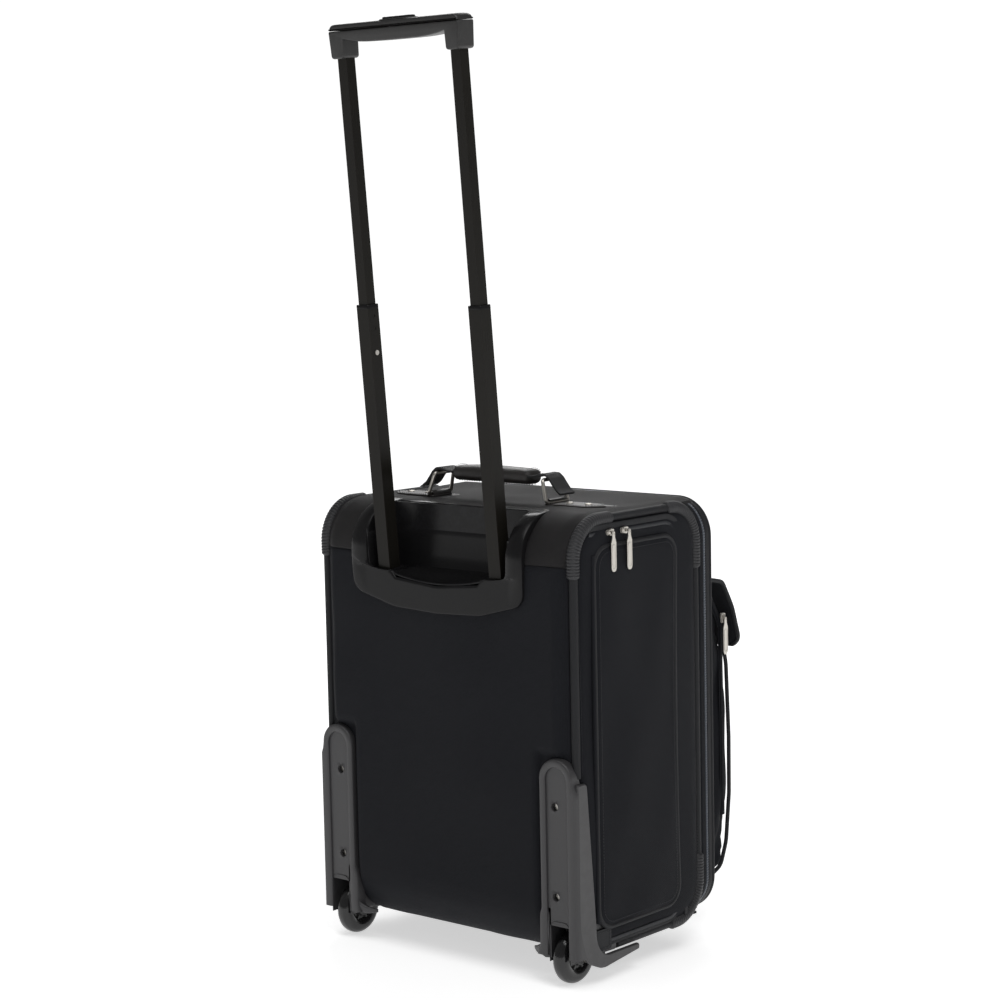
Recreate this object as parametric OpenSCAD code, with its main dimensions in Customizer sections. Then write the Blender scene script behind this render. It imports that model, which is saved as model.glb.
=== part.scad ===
// Two-wheeled pilot flight case: soft padded body, telescopic trolley, side door, front cover with pocket.
// Y = 0 is the back piping plane while a piece is drawn, +Y is the trolley side, -Y the front cover, and
// the side door is on -X. place() then centres the whole outline on the origin, with Z = 0 the ground.

/* [Case body] */
// Width between the side faces
body_w = 360; // [330:1:400]
// Height of the flat top
top_z = 494; // [470:1:520]
// Height of the flat bottom over the ground
floor_z = 30; // [28:1:34]
// Depth from the back piping to the front zip
body_d = 227; // [215:1:250]
// Radius of the four corners seen from the side
corner_r = 46; // [40:1:50]
// Thickness of a padded fabric wall
wall = 4; // [3:0.5:5]
// Drop of the seam that runs across the back, under the flat top
back_seam = 51; // [44:1:58]
// How far the padded back stands proud of the piping
back_bulge = 6.3; // [6:0.1:7]

/* [Trolley] */
// Backward lean of the trolley, degrees
rake = 4.8; // [3:0.1:6]
// Half the distance between the tube axes
tube_x = 79.7; // [72:0.1:84]
// Depth of the well for the grip, under the flat top
well_depth = 68; // [64:1:70]
// Height of the collars on the middle tubes
collar_z = 713; // [690:1:720]
// Height of the top of the push button
handle_top_z = 1010; // [980:1:1020]
// How far the grip stands outside the tube axes
grip_side = 10.8; // [8:0.1:14]
// Depth of the grip
grip_depth = 25; // [22:0.5:26]
// Side of the square middle tube
mid_side = 16.4; // [16:0.1:17]
// Width of the upper tube
upper_side = 12.5; // [11.5:0.1:12.8]
// Travel of the push button
button_travel = 4; // [3:0.5:4]

/* [Wheels] */
// Radius of a wheel
wheel_r = 29; // [26:0.5:30]
// Width of a tyre
tyre_w = 18; // [15:0.5:18.5]
// Distance of a wheel's middle inside the side face
wheel_in = 22.5; // [21:0.5:23]
// Radius of the steel axle
axle_r = 4; // [3:0.5:5]

/* [Front] */
// Depth of the front pocket at its fullest
pocket_depth = 62; // [50:1:66]
// How far the front pocket's sides are inside the side faces
pocket_inset = 22; // [18:1:50]

/* [Carry handle] */
// Distance of the carry handle from the back piping
carry_y = 92; // [86:1:110]
// Distance of a ring's hinge from the side of the body
ring_in = 95; // [88:1:98]
// Width of a ring along its hinge
ring_w = 36; // [34:1:40]

/* [Hidden] */

CLOTH = [0.10, 0.10, 0.12];
RUBBER = [0.16, 0.16, 0.17];
PLASTIC = [0.33, 0.32, 0.33];
GLOSS = [0.07, 0.07, 0.07];
TUBE = [0.12, 0.11, 0.10];
STEEL = [0.72, 0.70, 0.66];
LEATHER = [0.13, 0.11, 0.10];

$fn = 32;
half_w = body_w / 2;
well_z = top_z - well_depth;                   // height of the tube axes' zero, at the well floor
back_seam_z = top_z - back_seam;
wheel_x = half_w - wheel_in;
grip_half = tube_x + grip_side;
pocket_half = half_w - pocket_inset;
flap_reach = body_d + pocket_depth + 29;       // how far the pocket flap stands in front of the back piping
gap = 0.3;                                     // clearance between neighbours that don't touch
rake_sin = sin(rake);
rake_cos = cos(rake);
tube_y = -2;                                   // tube axis at the well floor
grip_top = (handle_top_z - well_z) / rake_cos; // along the trolley, from the well floor
collar = (collar_z - well_z) / rake_cos;
back_reach = tube_y + grip_top * rake_sin + grip_depth / 2;
mid_y = (flap_reach - back_reach) / 2;         // moves the outline's middle onto the origin

// ---- shared helpers ----
module place() translate([0, mid_y, 0]) children();
module raked() place() translate([0, tube_y, well_z]) rotate([-rake, 0, 0]) children();
module both() { children(); mirror([1, 0, 0]) children(); }

// Points of a rounded rectangle, a quarter circle at each corner.
function rounded(x0, y0, x1, y1, r, steps = 8) = [
    for (c = [[x1 - r, y1 - r, 0], [x0 + r, y1 - r, 90], [x0 + r, y0 + r, 180], [x1 - r, y0 + r, 270]])
        for (i = [0:steps]) [c[0] + r * cos(c[2] + 90 * i / steps), c[1] + r * sin(c[2] + 90 * i / steps)]];

// A box given by its two corners.
module box(low, high) translate(low) cube(high - low);
// A profile drawn in (Y, Z), extruded along X from x0 to x1.
module along_x(x0, x1) translate([x0, 0, 0]) rotate([90, 0, 90]) linear_extrude(x1 - x0) children();
// A profile drawn in (X, Z), extruded along Y from y0 to y1.
module along_y(y0, y1) translate([0, y1, 0]) rotate([90, 0, 0]) linear_extrude(y1 - y0) children();
// A square tube on the trolley's own axis.
module square_tube(outer, inner, z0, z1) difference() {
    box([-outer / 2, -outer / 2, z0], [outer / 2, outer / 2, z1]);
    box([-inner / 2, -inner / 2, z0 - 1], [inner / 2, inner / 2, z1 + 1]);
}
module rod_x(r, x0, x1, y, z) translate([x0, y, z]) rotate([0, 90, 0]) cylinder(r = r, h = x1 - x0);
module rod_y(r, y0, y1, x, z) translate([x, y1, z]) rotate([90, 0, 0]) cylinder(r = r, h = y1 - y0);

// ---- padded shell ----
side_y = 10;                     // depth of the front gusset in front of the side faces
gusset_x = half_w - 9;           // the gussets end here, beside the piping
side_inset = 9.6;                // the side faces end this far inside the outline
wheel_axle = [-17.5, wheel_r];   // y and z of the axles
screw_x = half_w - 25;
screw_z = [floor_z + 67, floor_z + 163];
arch_x = half_w - 22.1;          // middle of a housing's arched top
// inner x, front y and top z of a wheel bay
bay = [half_w - 44.5, wheel_axle[0] - wheel_r - 15.5, 2 * wheel_r + 26.3];
pocket_top = floor_z + 214.5;    // top of the recess behind a wheel housing

module body_form(g, front) hull() {
    along_x(-half_w + g, half_w - g)
        polygon(rounded(-body_d + side_y + g, floor_z + g, -g, top_z - g, corner_r - g));
    along_y(-front, -body_d + side_y)
        polygon(rounded(-half_w + g, floor_z + g, half_w - g, top_z - g, corner_r - 4 - g));
}
module shell() difference() { body_form(0, body_d); body_form(wall, body_d + 1); }
module bays() both() box([bay[0], bay[1], 0], [half_w + 9, 30, bay[2]]);
well_half = tube_x + 24.3;       // half the outer width of the handle well
well_cut = [well_half + 1, -34.5];             // half width and front y of the hole for the well
crest = half_w - 20;             // the padded back is at its fullest within this

module back_panel() color(CLOTH) place() difference() {
    union() {
        difference() {
            translate([0, 0, corner_r + floor_z])
                linear_extrude(back_seam_z - corner_r - floor_z) polygon([
                    [gusset_x, -4.3], [crest, back_bulge], [-crest, back_bulge], [-gusset_x, -4.3],
                    [3 - gusset_x, -4.3], [1.2 - crest, back_bulge - 2.2],
                    [crest - 1.2, back_bulge - 2.2],
                    [gusset_x - 3, -4.3]]);
            both() box([bay[0], -10, 0], [half_w, 20, pocket_top]);
        }
        both() box([bay[0] - 2, -wall, max(bay[2], corner_r + floor_z)], [gusset_x, 0, pocket_top]);
    }
    box([-well_cut[0], -40, well_z - 42], [well_cut[0], 20, top_z + 6]);
    both() for (z = screw_z) rod_y(1.9, -20, 20, screw_x, z);
}
module top_panel() color(CLOTH) place() difference() {
    intersection() {
        shell();
        box([-gusset_x, -body_d + side_y, back_seam_z], [gusset_x, 20, top_z + 10]);
    }
    box([-well_cut[0], well_cut[1], well_z - 26], [well_cut[0], 30, top_z + 26]);
}
module bottom_panel() color(CLOTH) place() difference() {
    intersection() {
        shell();
        box([-gusset_x, -body_d + side_y, 0], [gusset_x, 20, corner_r + floor_z]);
    }
    bays();
}
module side_panel(door) place() difference() {
    along_x(half_w - wall, half_w) difference() {
        polygon(rounded(-body_d + side_y + side_inset, floor_z + side_inset, -side_inset,
            top_z - side_inset, corner_r - side_inset));
        if (door) polygon(rounded(-body_d + 62, floor_z + 40, -42, top_z - 46, 16));
    }
    box([bay[0], bay[1], 0], [half_w + 9, 30, bay[2]]);
}
module side_panel_left() color(CLOTH) side_panel(false);
module side_panel_right() color(CLOTH) mirror([1, 0, 0]) side_panel(true);
module front_rim() color(CLOTH) place() difference() {
    along_y(-body_d, -body_d + side_y - gap) difference() {
        polygon(rounded(-half_w, floor_z, half_w, top_z, corner_r - 4));
        polygon(rounded(8 - half_w, floor_z + 8, half_w - 8, top_z - 8, corner_r - 12));
    }
    both() box([pipe_x - 7.5, -body_d + side_y - 3.2, 0], [half_w + 9, 0, top_z + 9]);
}

// ---- piping and corner guards: a bead that follows the outline of each side face ----
pipe_r = 5;
pipe_in = 4.3;                   // the bead's centre line is this far inside the outline
pipe_x = half_w - 3.7;
bend = corner_r - pipe_in;
corners = [[-corner_r, top_z - corner_r, 0], [-body_d + side_y + corner_r, top_z - corner_r, 90],
    [-body_d + side_y + corner_r, floor_z + corner_r, 180], [-corner_r, floor_z + corner_r, 270]];

// A quarter bend at a corner, its section a profile whose x points outwards and y points to the side.
module bend_at(c) translate([pipe_x, c[0], c[1]]) rotate([0, 90, 0]) rotate([0, 0, 90])
    rotate([0, 0, c[2]]) rotate_extrude(angle = 90) translate([bend, 0]) children();
// A straight run that leaves a corner's end: after = true runs on, false runs back.
module run_at(c, length, after) translate([pipe_x, c[0], c[1]]) rotate([0, 90, 0]) rotate([0, 0, 90])
    rotate([0, 0, c[2] + (after ? 90 : 0)]) translate([bend, after ? length : 0, 0]) rotate([90, 0, 0])
        linear_extrude(length) children();

module bead() difference() {
    union() {
        for (c = corners) bend_at(c) circle(r = pipe_r);
        for (c = [corners[0], corners[2]])
            run_at(c, body_d - side_y - 2 * corner_r, true) circle(r = pipe_r);
        for (c = [corners[0], corners[2]])
            run_at(c, top_z - floor_z - 2 * corner_r, false) circle(r = pipe_r);
    }
    box([gusset_x - 21, -98, 0], [half_w + 20, 20, floor_z + 30]);
    box([gusset_x - 21, -30, 0], [half_w + 20, 20, floor_z + 192.3]);
    box([gusset_x - 21, 0.2, 0], [half_w + 20, 20, pocket_top]);
}
module piping_left() color(CLOTH) place() bead();
module piping_right() color(CLOTH) place() mirror([1, 0, 0]) bead();

module guard_section() difference() {
    circle(r = 7.2);
    circle(r = 5.15);
    translate([-15, -8]) square([10, 16]);
    translate([-8, -15]) square([16, 10]);
    translate([-8, -8]) square([8, 8]);
}
module guard(c, before, after) {
    bend_at(c) guard_section();
    run_at(c, before, false) guard_section();
    run_at(c, after, true) guard_section();
}
module corner_guards() color(RUBBER) place() both() {
    guard(corners[0], 18, 20);
    guard(corners[1], 9, 30);
    guard(corners[2], 26, 11);
}

// A spring-steel hoop inside the front rim that holds the body open.
wire_r = 1.6;
wire_bend = 16;
module frame_wires() color(STEEL) place() translate([0, -205, 0]) rotate([90, 0, 0]) {
    x = half_w - 21;
    z = [floor_z + 21, top_z - 21];
    for (s = [-x, x]) translate([s, z[0] + wire_bend, 0]) rotate([-90, 0, 0])
        cylinder(r = wire_r, h = z[1] - z[0] - 2 * wire_bend);
    for (h = z) translate([wire_bend - x, h, 0]) rotate([0, 90, 0])
        cylinder(r = wire_r, h = 2 * (x - wire_bend));
    for (c = [[1, 1, 0], [-1, 1, 90], [-1, -1, 180], [1, -1, 270]])
        translate([c[0] * (x - wire_bend), c[1] > 0 ? z[1] - wire_bend : z[0] + wire_bend, 0])
            rotate([0, 0, c[2]]) rotate_extrude(angle = 90) translate([wire_bend, 0]) circle(r = wire_r);
}

// ---- trolley, drawn along its own raked axis from the well floor ----
outer_side = 18.8;
outer_bore = 17;
mid_bore = 13.8;
upper_bore = 10;
mid_low = collar - 340;          // lower end of a middle tube
upper_low = collar - 70;         // lower end of an upper tube
outer_low = 24.5 - (well_z - floor_z) / rake_cos;   // lower end of the fixed tubes
leg_low = grip_top - 39;         // lower end of the grip's legs
pin_h = collar - 52.2;           // the lock pins

module back_board() color(GLOSS) raked() difference() {
    box([18 - half_w, -12, outer_low], [half_w - 18, -10, -14]);
    both() box([half_w - 62, -13, outer_low - 1], [half_w - 17, -9, bay[2] - well_z + 4]);
}
module outer_tube() translate([tube_x, 0, 0]) square_tube(outer_side, outer_bore, outer_low, -12);
module outer_tube_left() color(TUBE) raked() outer_tube();
module outer_tube_right() color(TUBE) raked() mirror([1, 0, 0]) outer_tube();
module tube_foot() color(GLOSS) raked()
    box([-tube_x - 14, -9.8, outer_low - 12], [tube_x + 14, 9.8, outer_low]);

module mid_tube() translate([tube_x, 0, 0]) difference() {
    square_tube(mid_side, mid_bore, mid_low, collar - 3);
    translate([-20, 0, pin_h]) rotate([0, 90, 0]) cylinder(r = 3.2, h = 15);
    for (d = [12.5, 26]) translate([-9, 0, collar - d]) rotate([0, 90, 0]) cylinder(r = 2, h = 1.2);
}
module mid_tube_left() color(TUBE) raked() mid_tube();
module mid_tube_right() color(TUBE) raked() mirror([1, 0, 0]) mid_tube();
module mid_collars() color(GLOSS) raked() both() translate([tube_x, 0, 0])
    square_tube(mid_side + 0.2, upper_side + 1, collar - 3, collar);
module mid_guides() color(PLASTIC) raked() both() translate([tube_x, 0, 0])
    box([-8.2, -8.2, mid_low - 6], [8.2, 8.2, mid_low]);

module upper_tube() translate([tube_x, 0, 0]) difference() {
    box([-upper_side / 2, -6.5, upper_low], [upper_side / 2, 6.5, leg_low + 12.5]);
    box([-upper_bore / 2, -5, upper_low - 1], [upper_bore / 2, 5, leg_low + 20]);
    translate([-20, 0, pin_h]) rotate([0, 90, 0]) cylinder(r = 3.2, h = 16);
}
module upper_tube_left() color(TUBE) raked() upper_tube();
module upper_tube_right() color(TUBE) raked() mirror([1, 0, 0]) upper_tube();
module upper_guides() color(PLASTIC) raked() both() translate([tube_x, 0, 0])
    box([-6.5, -6.6, upper_low - 6], [6.5, 6.6, upper_low]);

// ---- grip: a lower moulding with two legs, a cover over it and an oval push button ----
belly = grip_top - 24;           // the underside at the middle of the grip
part_line = grip_top - 10;       // where the cover meets the base
cover_top = grip_top - 3;
leg_in = grip_half - 19.5;       // inner face of a leg
bridge = [part_line - 3, part_line + 0.5];     // plate that joins the button to its rods
cavity = bridge[0] - button_travel - 0.5;      // floor of the hollow that the plate moves in

function arch(steps = 10) = [for (i = [0:steps])
    let (x = leg_in - 2 * leg_in * i / steps) [x, belly + 5 * pow(abs(x) / leg_in, 4)]];

module grip_base() color(PLASTIC) raked() difference() {
    along_y(-grip_depth / 2, grip_depth / 2) polygon(concat(
        [[-grip_half, part_line], [-grip_half, leg_low + 3], [3 - grip_half, leg_low],
            [-leg_in - 3, leg_low], [-leg_in, leg_low + 3]],
        [for (i = [10:-1:0]) arch()[i]],
        [[leg_in, leg_low + 3], [leg_in + 3, leg_low], [grip_half - 3, leg_low],
            [grip_half, leg_low + 3], [grip_half, part_line]]));
    both() box([tube_x - upper_side / 2 - 0.05, -6.55, leg_low - 1],
        [tube_x + upper_side / 2 + 0.05, 6.55, leg_low + 12.6]);
    both() translate([tube_x, 0, leg_low]) cylinder(r = 2.6, h = 30);
    box([4 - grip_half, -8, cavity], [grip_half - 4, 8, part_line + 1]);
    both() rod_y(2.6, 6.8, 20, tube_x + 1, leg_low + 7);
}
module button_slot(grow, z0, z1) translate([0, 0, z0]) linear_extrude(z1 - z0)
    polygon(rounded(-21 - grow, -7 - grow, 21 + grow, 7 + grow, 6.9 + grow));
module grip_cover() color(PLASTIC) raked() difference() {
    along_y(-grip_depth / 2, grip_depth / 2)
        polygon(rounded(-grip_half, part_line - 10, grip_half, cover_top, 6, 4));
    box([-grip_half - 1, -20, part_line - 12], [grip_half + 1, 20, part_line]);
    box([4 - grip_half, -8, part_line - 1], [grip_half - 4, 8, cover_top - 2.2]);
    button_slot(gap, cover_top - 5, cover_top + 5);
}
module grip_screws() color(STEEL) raked() both() rod_y(2.4, 7, 10.5, tube_x + 1, leg_low + 7);

module lock_button() color(GLOSS) raked() {
    button_slot(0, bridge[1], grip_top);
    box([-tube_x - 4, -6.5, bridge[0]], [tube_x + 4, 6.5, bridge[1]]);
}
module push_rods() color(STEEL) raked() both()
    translate([tube_x, 0, upper_low + 6]) cylinder(r = 1.8, h = bridge[0] - upper_low - 6);
module button_spring() color(STEEL) raked() translate([0, 0, cavity]) difference() {
    cylinder(r = 5, h = bridge[0] - cavity);
    translate([0, 0, -1]) cylinder(r = 3.8, h = 20);
}
// A sprung pin that locks an upper tube in its middle tube.
module lock_pin() translate([tube_x - 9, 0, pin_h]) rotate([0, 90, 0]) cylinder(r = 2.75, h = 4.8);
module lock_pin_left() color(STEEL) raked() lock_pin();
module lock_pin_right() color(STEEL) raked() mirror([1, 0, 0]) lock_pin();

// ---- well for the grip, a moulding let into the back edge of the top ----
well_back = 12;                  // the well's back edge
// Part of an oval over the rounded back edge of the case, in (Y, Z): out from the back, up from the top.
function over_edge(out, up, from = 0) = [for (i = [from:8]) [(corner_r + out) * sin(11.25 * i) - corner_r,
    (corner_r + up) * cos(11.25 * i) + top_z - corner_r]];
function backwards(p) = [for (i = [len(p) - 1:-1:0]) p[i]];
module handle_well() color(GLOSS) place() {
    both() difference() {                                                     // floor, open round the tubes
        box([-0.01, -34, well_z - 6], [well_half, well_back, well_z - 2]);
        box([tube_x - 13.4, -15.7, well_z - 9], [tube_x + 13.4, well_back + 9, well_z + 9]);
    }
    box([-well_half, -34, well_z - 2], [well_half, -30, top_z - 2]);          // front wall
    both() along_x(well_half - 4, well_half) polygon(concat([[-34, well_z - 2], [-34, top_z + 1.6]],
        over_edge(well_back, 2.5, 2), [[well_back, well_z - 2]]));            // side walls
    // arm of the flange, bent over the rounded edge
    both() along_x(well_half - 0.5, well_half + 18) polygon(concat(over_edge(well_back, 2.5),
        [[well_back, top_z - corner_r - 2], [back_bulge + gap, top_z - corner_r - 2]],
        backwards(over_edge(gap, gap))));
    // flange on the padded back, its lower edge bowed downwards
    along_y(back_bulge + gap, well_back) polygon(concat(
        [[-tube_x - 13.5, well_z - 6], [-tube_x - 13.5, well_z - 2], [-well_half, well_z - 2],
            [-well_half, top_z - corner_r], [-well_half - 18, top_z - corner_r],
            [-well_half - 18, well_z - 21]],
        [for (i = [0:12]) let (x = (well_half + 8) * (i / 6 - 1))
            [x, well_z - 43 + 10 * pow(abs(x) / (well_half + 8), 2)]],
        [[well_half + 18, well_z - 21], [well_half + 18, top_z - corner_r], [well_half, top_z - corner_r],
            [well_half, well_z - 2], [tube_x + 13.5, well_z - 2], [tube_x + 13.5, well_z - 6]]));
    // lip on the top cloth, in front of the well
    box([-well_half - 18, -corner_r, top_z + gap], [well_half + 18, -34, top_z + 2.5]);
    box([-well_half, -34, top_z - 2], [well_half, -30, top_z + 2.5]);
}
// A sleeve round each tube, let into the well floor.
module tube_pads() color(GLOSS) place() both() intersection() {
    translate([tube_x, tube_y, well_z]) rotate([-rake, 0, 0]) difference() {
        box([-13, -13, -4.8], [13, 13, 0.4]);
        box([-8.6, -8.6, -20], [8.6, 8.6, 20]);
    }
    box([0, -40, well_z - 9], [well_half, back_bulge + gap + 4.2, well_z + 9]);
}

// ---- wheels ----
arch_half = tyre_w / 2 + 3;      // half the width of the wheel arch
flange = half_w + 5;             // outer face of a housing's flange
hub_r = wheel_r - 12.2;
axle_x = [half_w - 41, half_w + 0.5];
// Half circle on top of a housing or its channel, drawn in (X, Z).
function arch_points(r, z) = [for (i = [0:12]) [arch_x - r * cos(15 * i), z + r * sin(15 * i)]];
module housing() place() difference() {
    union() {
        translate([0, 0, floor_z + 3]) linear_extrude(186) polygon([[bay[0] + gap, gap],
            [half_w - 8.6, gap], [half_w + gap, -4], [half_w + gap, -12], [flange, -12], [flange, 3],
            [half_w - 1, 9], [bay[0] + gap, 9]]);
        along_y(gap, 9) polygon(concat([[bay[0] + gap, floor_z + 188]], arch_points(22, floor_z + 192),
            [[half_w, floor_z + 188]]));
        along_x(half_w + gap, flange) polygon([[-11, floor_z + 189], [3, floor_z + 189],
            [3, floor_z + 6], [-23.5, floor_z + 6], [-23.5, floor_z + 38]]);
        along_x(half_w - 8, flange) polygon([[3, bay[2] - gap], [3, floor_z + 30], [-8, floor_z - 2],
            [-30, floor_z - 12.5], [-38, floor_z - 13.5], [-96, floor_z - 6.7], [-96, floor_z - gap],
            [-40, floor_z - gap], [-30, floor_z + 4], [-24, floor_z + 20], [-23.5, bay[2] - gap]]);
        along_x(bay[0] + gap, half_w - gap) polygon([[bay[1] + gap, bay[2] - gap], [9, bay[2] - gap],
            [9, floor_z + 10], [0, floor_z + 2], [bay[1] + gap, floor_z]]);
    }
    wheel_space();
    // recessed channel on the back face, open to the arch
    along_y(6.5, 20) polygon(concat([[arch_x - 14.4, floor_z + 30]], arch_points(14.4, floor_z + 191),
        [[arch_x + 14.4, floor_z + 30]]));
    for (z = screw_z) rod_y(3.75, -9, 20, screw_x, z);
    rod_x(axle_r, axle_x[0], axle_x[1], wheel_axle[0], wheel_axle[1]);
}
module wheel_space() {
    rod_x(wheel_r + 4, wheel_x - arch_half, wheel_x + arch_half, wheel_axle[0], wheel_axle[1]);
    box([wheel_x - arch_half, wheel_axle[0] - wheel_r - 4, 0], [wheel_x + arch_half, 20, wheel_axle[1]]);
    along_y(-20, 20) polygon(rounded(wheel_x - arch_half, 0, wheel_x + arch_half + 4,
        2 * wheel_r + 13, 10));
}
module wheel_housing_left() color(PLASTIC) housing();
module wheel_housing_right() color(PLASTIC) mirror([1, 0, 0]) housing();
module housing_screws() color(STEEL) place() both() for (z = screw_z) {
    rod_y(3.4, 0.1, 2.4, screw_x, z);
    rod_y(1.8, -7, 0.1, screw_x, z);
}
module axles() color(STEEL) place() both()
    rod_x(axle_r, axle_x[0], axle_x[1], wheel_axle[0], wheel_axle[1]);
module hub() place() difference() {
    union() {
        rod_x(hub_r, wheel_x - 5, wheel_x + 5, wheel_axle[0], wheel_axle[1]);
        rod_x(8, wheel_x - 11, wheel_x + 11, wheel_axle[0], wheel_axle[1]);
    }
    rod_x(axle_r + 0.05, wheel_x - 20, wheel_x + 20, wheel_axle[0], wheel_axle[1]);
}
module tyre() place() translate([wheel_x, wheel_axle[0], wheel_axle[1]]) rotate([0, 90, 0])
    rotate_extrude($fn = 64) difference() {
        translate([wheel_r - tyre_w / 2, 0]) circle(r = tyre_w / 2);
        translate([0, -20]) square([hub_r, 40]);
    }
module wheel_hub_left() color(GLOSS) hub();
module wheel_hub_right() color(GLOSS) mirror([1, 0, 0]) hub();
module wheel_tyre_left() color(RUBBER) tyre();
module wheel_tyre_right() color(RUBBER) mirror([1, 0, 0]) tyre();

module front_foot() color(PLASTIC) place() along_x(-45, 45)
    polygon([[-126, floor_z], [-134, 0], [-166, 0], [-170, floor_z]]);

// ---- carry handle on the top ----
ring_x = half_w - ring_in;       // half the distance between the ring hinges
ring_z = top_z + 4.6;            // hinge of the rings
ring_lean = [-7.5, 24];          // from a ring's hinge to its upper bar, in X and Z
ring_r = 2;
module top_strip(x0, x1, half_y, z0, z1) translate([0, 0, z0]) linear_extrude(z1 - z0)
    polygon(rounded(x0, -carry_y - half_y, x1, -carry_y + half_y, 12));
module handle_patch() color(LEATHER) place() both()
    top_strip(ring_x - 13, ring_x + 67, 26, top_z, top_z + 1.2);
module handle_tabs() color(LEATHER) place() both() difference() {
    union() {
        translate([0, 0, top_z + 1.2]) linear_extrude(2) polygon([[ring_x - 5, -carry_y - 17],
            [ring_x + 49, -carry_y - 17], [ring_x + 64, -carry_y], [ring_x + 49, -carry_y + 17],
            [ring_x - 5, -carry_y + 17]]);
        rod_y(4.4, -carry_y - 15, -carry_y + 15, ring_x, ring_z);
    }
    box([ring_x - 25, -carry_y - 20, top_z - 9], [ring_x + 15, -carry_y + 20, top_z + 1.2]);
    rod_y(ring_r + 0.1, -carry_y - 20, -carry_y + 20, ring_x, ring_z);
}
module tab_rivets() color(STEEL) place() both() for (x = [ring_x + 17, ring_x + 43])
    translate([x, -carry_y, top_z + 3.2]) cylinder(r1 = 4.2, r2 = 3, h = 1.6);

module ring() place() translate([ring_x, -carry_y, ring_z]) {
    low = ring_w / 2;
    high = ring_w / 2 - 2.5;
    length = norm(ring_lean);
    splay = atan2(low - high, length);
    rotate([0, atan2(ring_lean[0], ring_lean[1]), 0]) {
        rod_y(ring_r, -low - 1.5, low + 1.5, 0, 0);
        rod_y(ring_r, -high - 1.5, high + 1.5, 0, length);
        for (s = [-1, 1]) translate([0, s * low, 0]) rotate([s * splay, 0, 0])
            cylinder(r = ring_r - 0.2, h = length / cos(splay));
    }
}
module ring_left() color(STEEL) ring();
module ring_right() color(STEEL) mirror([1, 0, 0]) ring();

bar_x = ring_x + ring_lean[0];   // upper bar of a ring
bar_z = ring_z + ring_lean[1];
strap_y = 12.5;                  // half the width of the webbing
sleeve_x = bar_x - 21.5;         // half the length of the leather sleeve
sleeve_z = [top_z + 21, top_z + 39];
core_z = [top_z + 29, top_z + 32];             // the webbing inside the sleeve
module strap_half(play) {
    along_y(-strap_y, strap_y) {
        polygon([[-0.01, core_z[1]], [sleeve_x + 2, core_z[1]], [bar_x - 7.5, core_z[1] + 2],
            [bar_x - 1, bar_z + 5], [bar_x - 1, bar_z + play + 2.3], [bar_x - 9.5, core_z[1] - 0.8],
            [sleeve_x + 2, core_z[0]], [-0.01, core_z[0]]]);
        polygon([[bar_x + 2, bar_z + 5.4], [bar_x + 6, bar_z + 3], [bar_x + 22.5, bar_z - 13.1],
            [bar_x + 20.5, bar_z - 15.6], [bar_x + play + 2, bar_z - 2], [bar_x + play + 2, bar_z + 1]]);
    }
    difference() {
        translate([bar_x, 0, bar_z]) rotate([90, 0, 0])
            translate([0, 0, -strap_y]) cylinder(r = play + 5, h = 2 * strap_y);
        translate([bar_x, 20, bar_z]) rotate([90, 0, 0]) cylinder(r = play + 2.2, h = 40);
        box([bar_x - 10, -20, bar_z - 10], [bar_x, 20, bar_z + 0.4]);
    }
}
module handle_strap() color(CLOTH) place() translate([0, -carry_y, 0]) {
    strap_half(0.6);
    mirror([1, 0, 0]) strap_half(1.6);
}
module handle_grip() color(LEATHER) place() translate([0, -carry_y, 0]) difference() {
    along_x(-sleeve_x, sleeve_x) polygon(rounded(-15, sleeve_z[0], 15, sleeve_z[1], 8));
    box([-sleeve_x - 4, -strap_y - gap, core_z[0] - gap], [sleeve_x + 4, strap_y + gap, core_z[1] + gap]);
}

// ---- side door on the right face ----
door_axis = [-half_w - 3.7, -27.6];            // hinge line, in X and Y
module door_plate(y0, y1, z0, z1, r) polygon(rounded(y0, z0, y1, z1, r));
module side_door() color(CLOTH) place() {
    along_x(-half_w - 1.6, -half_w - 0.4)
        door_plate(-body_d + 46, door_axis[1], floor_z + 18, top_z - 24, 22);
    along_x(-half_w - 7, -half_w - 1.6)
        door_plate(-body_d + 51, door_axis[1], floor_z + 28, top_z - 32, 22);
    translate([door_axis[0], door_axis[1], floor_z + 50]) cylinder(r = 3.3, h = top_z - floor_z - 104);
}
slider_z = top_z - 18.5;
// A pull hangs from a pin through its slider: plate, neck and the round end on the pin.
module pull_plate(x) {
    box([x, -4, -39], [x + 1.6, 4, -5]);
    box([x, -2.5, -6], [x + 1.6, 2.5, 0]);
}
module side_pull(x) { pull_plate(x); rod_x(2.5, x, x + 1.6, 0, 0); }
module front_pull(x) { pull_plate(x); rod_y(0.8, -2.5, 2.5, x + 0.8, 0); }
module door_slider(y) place() translate([0, y, slider_z])
    box([-half_w - 7, -6, -4], [-half_w - 3.8, 6, 4]);
module door_slider_rear() color(STEEL) door_slider(-57);
module door_slider_front() color(STEEL) door_slider(-81);
module door_pull_rear() color(STEEL) place() translate([0, -57, slider_z]) side_pull(-half_w - 9.1);
module door_pull_front() color(STEEL) place() translate([0, -81, slider_z]) side_pull(-half_w - 11.2);

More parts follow.
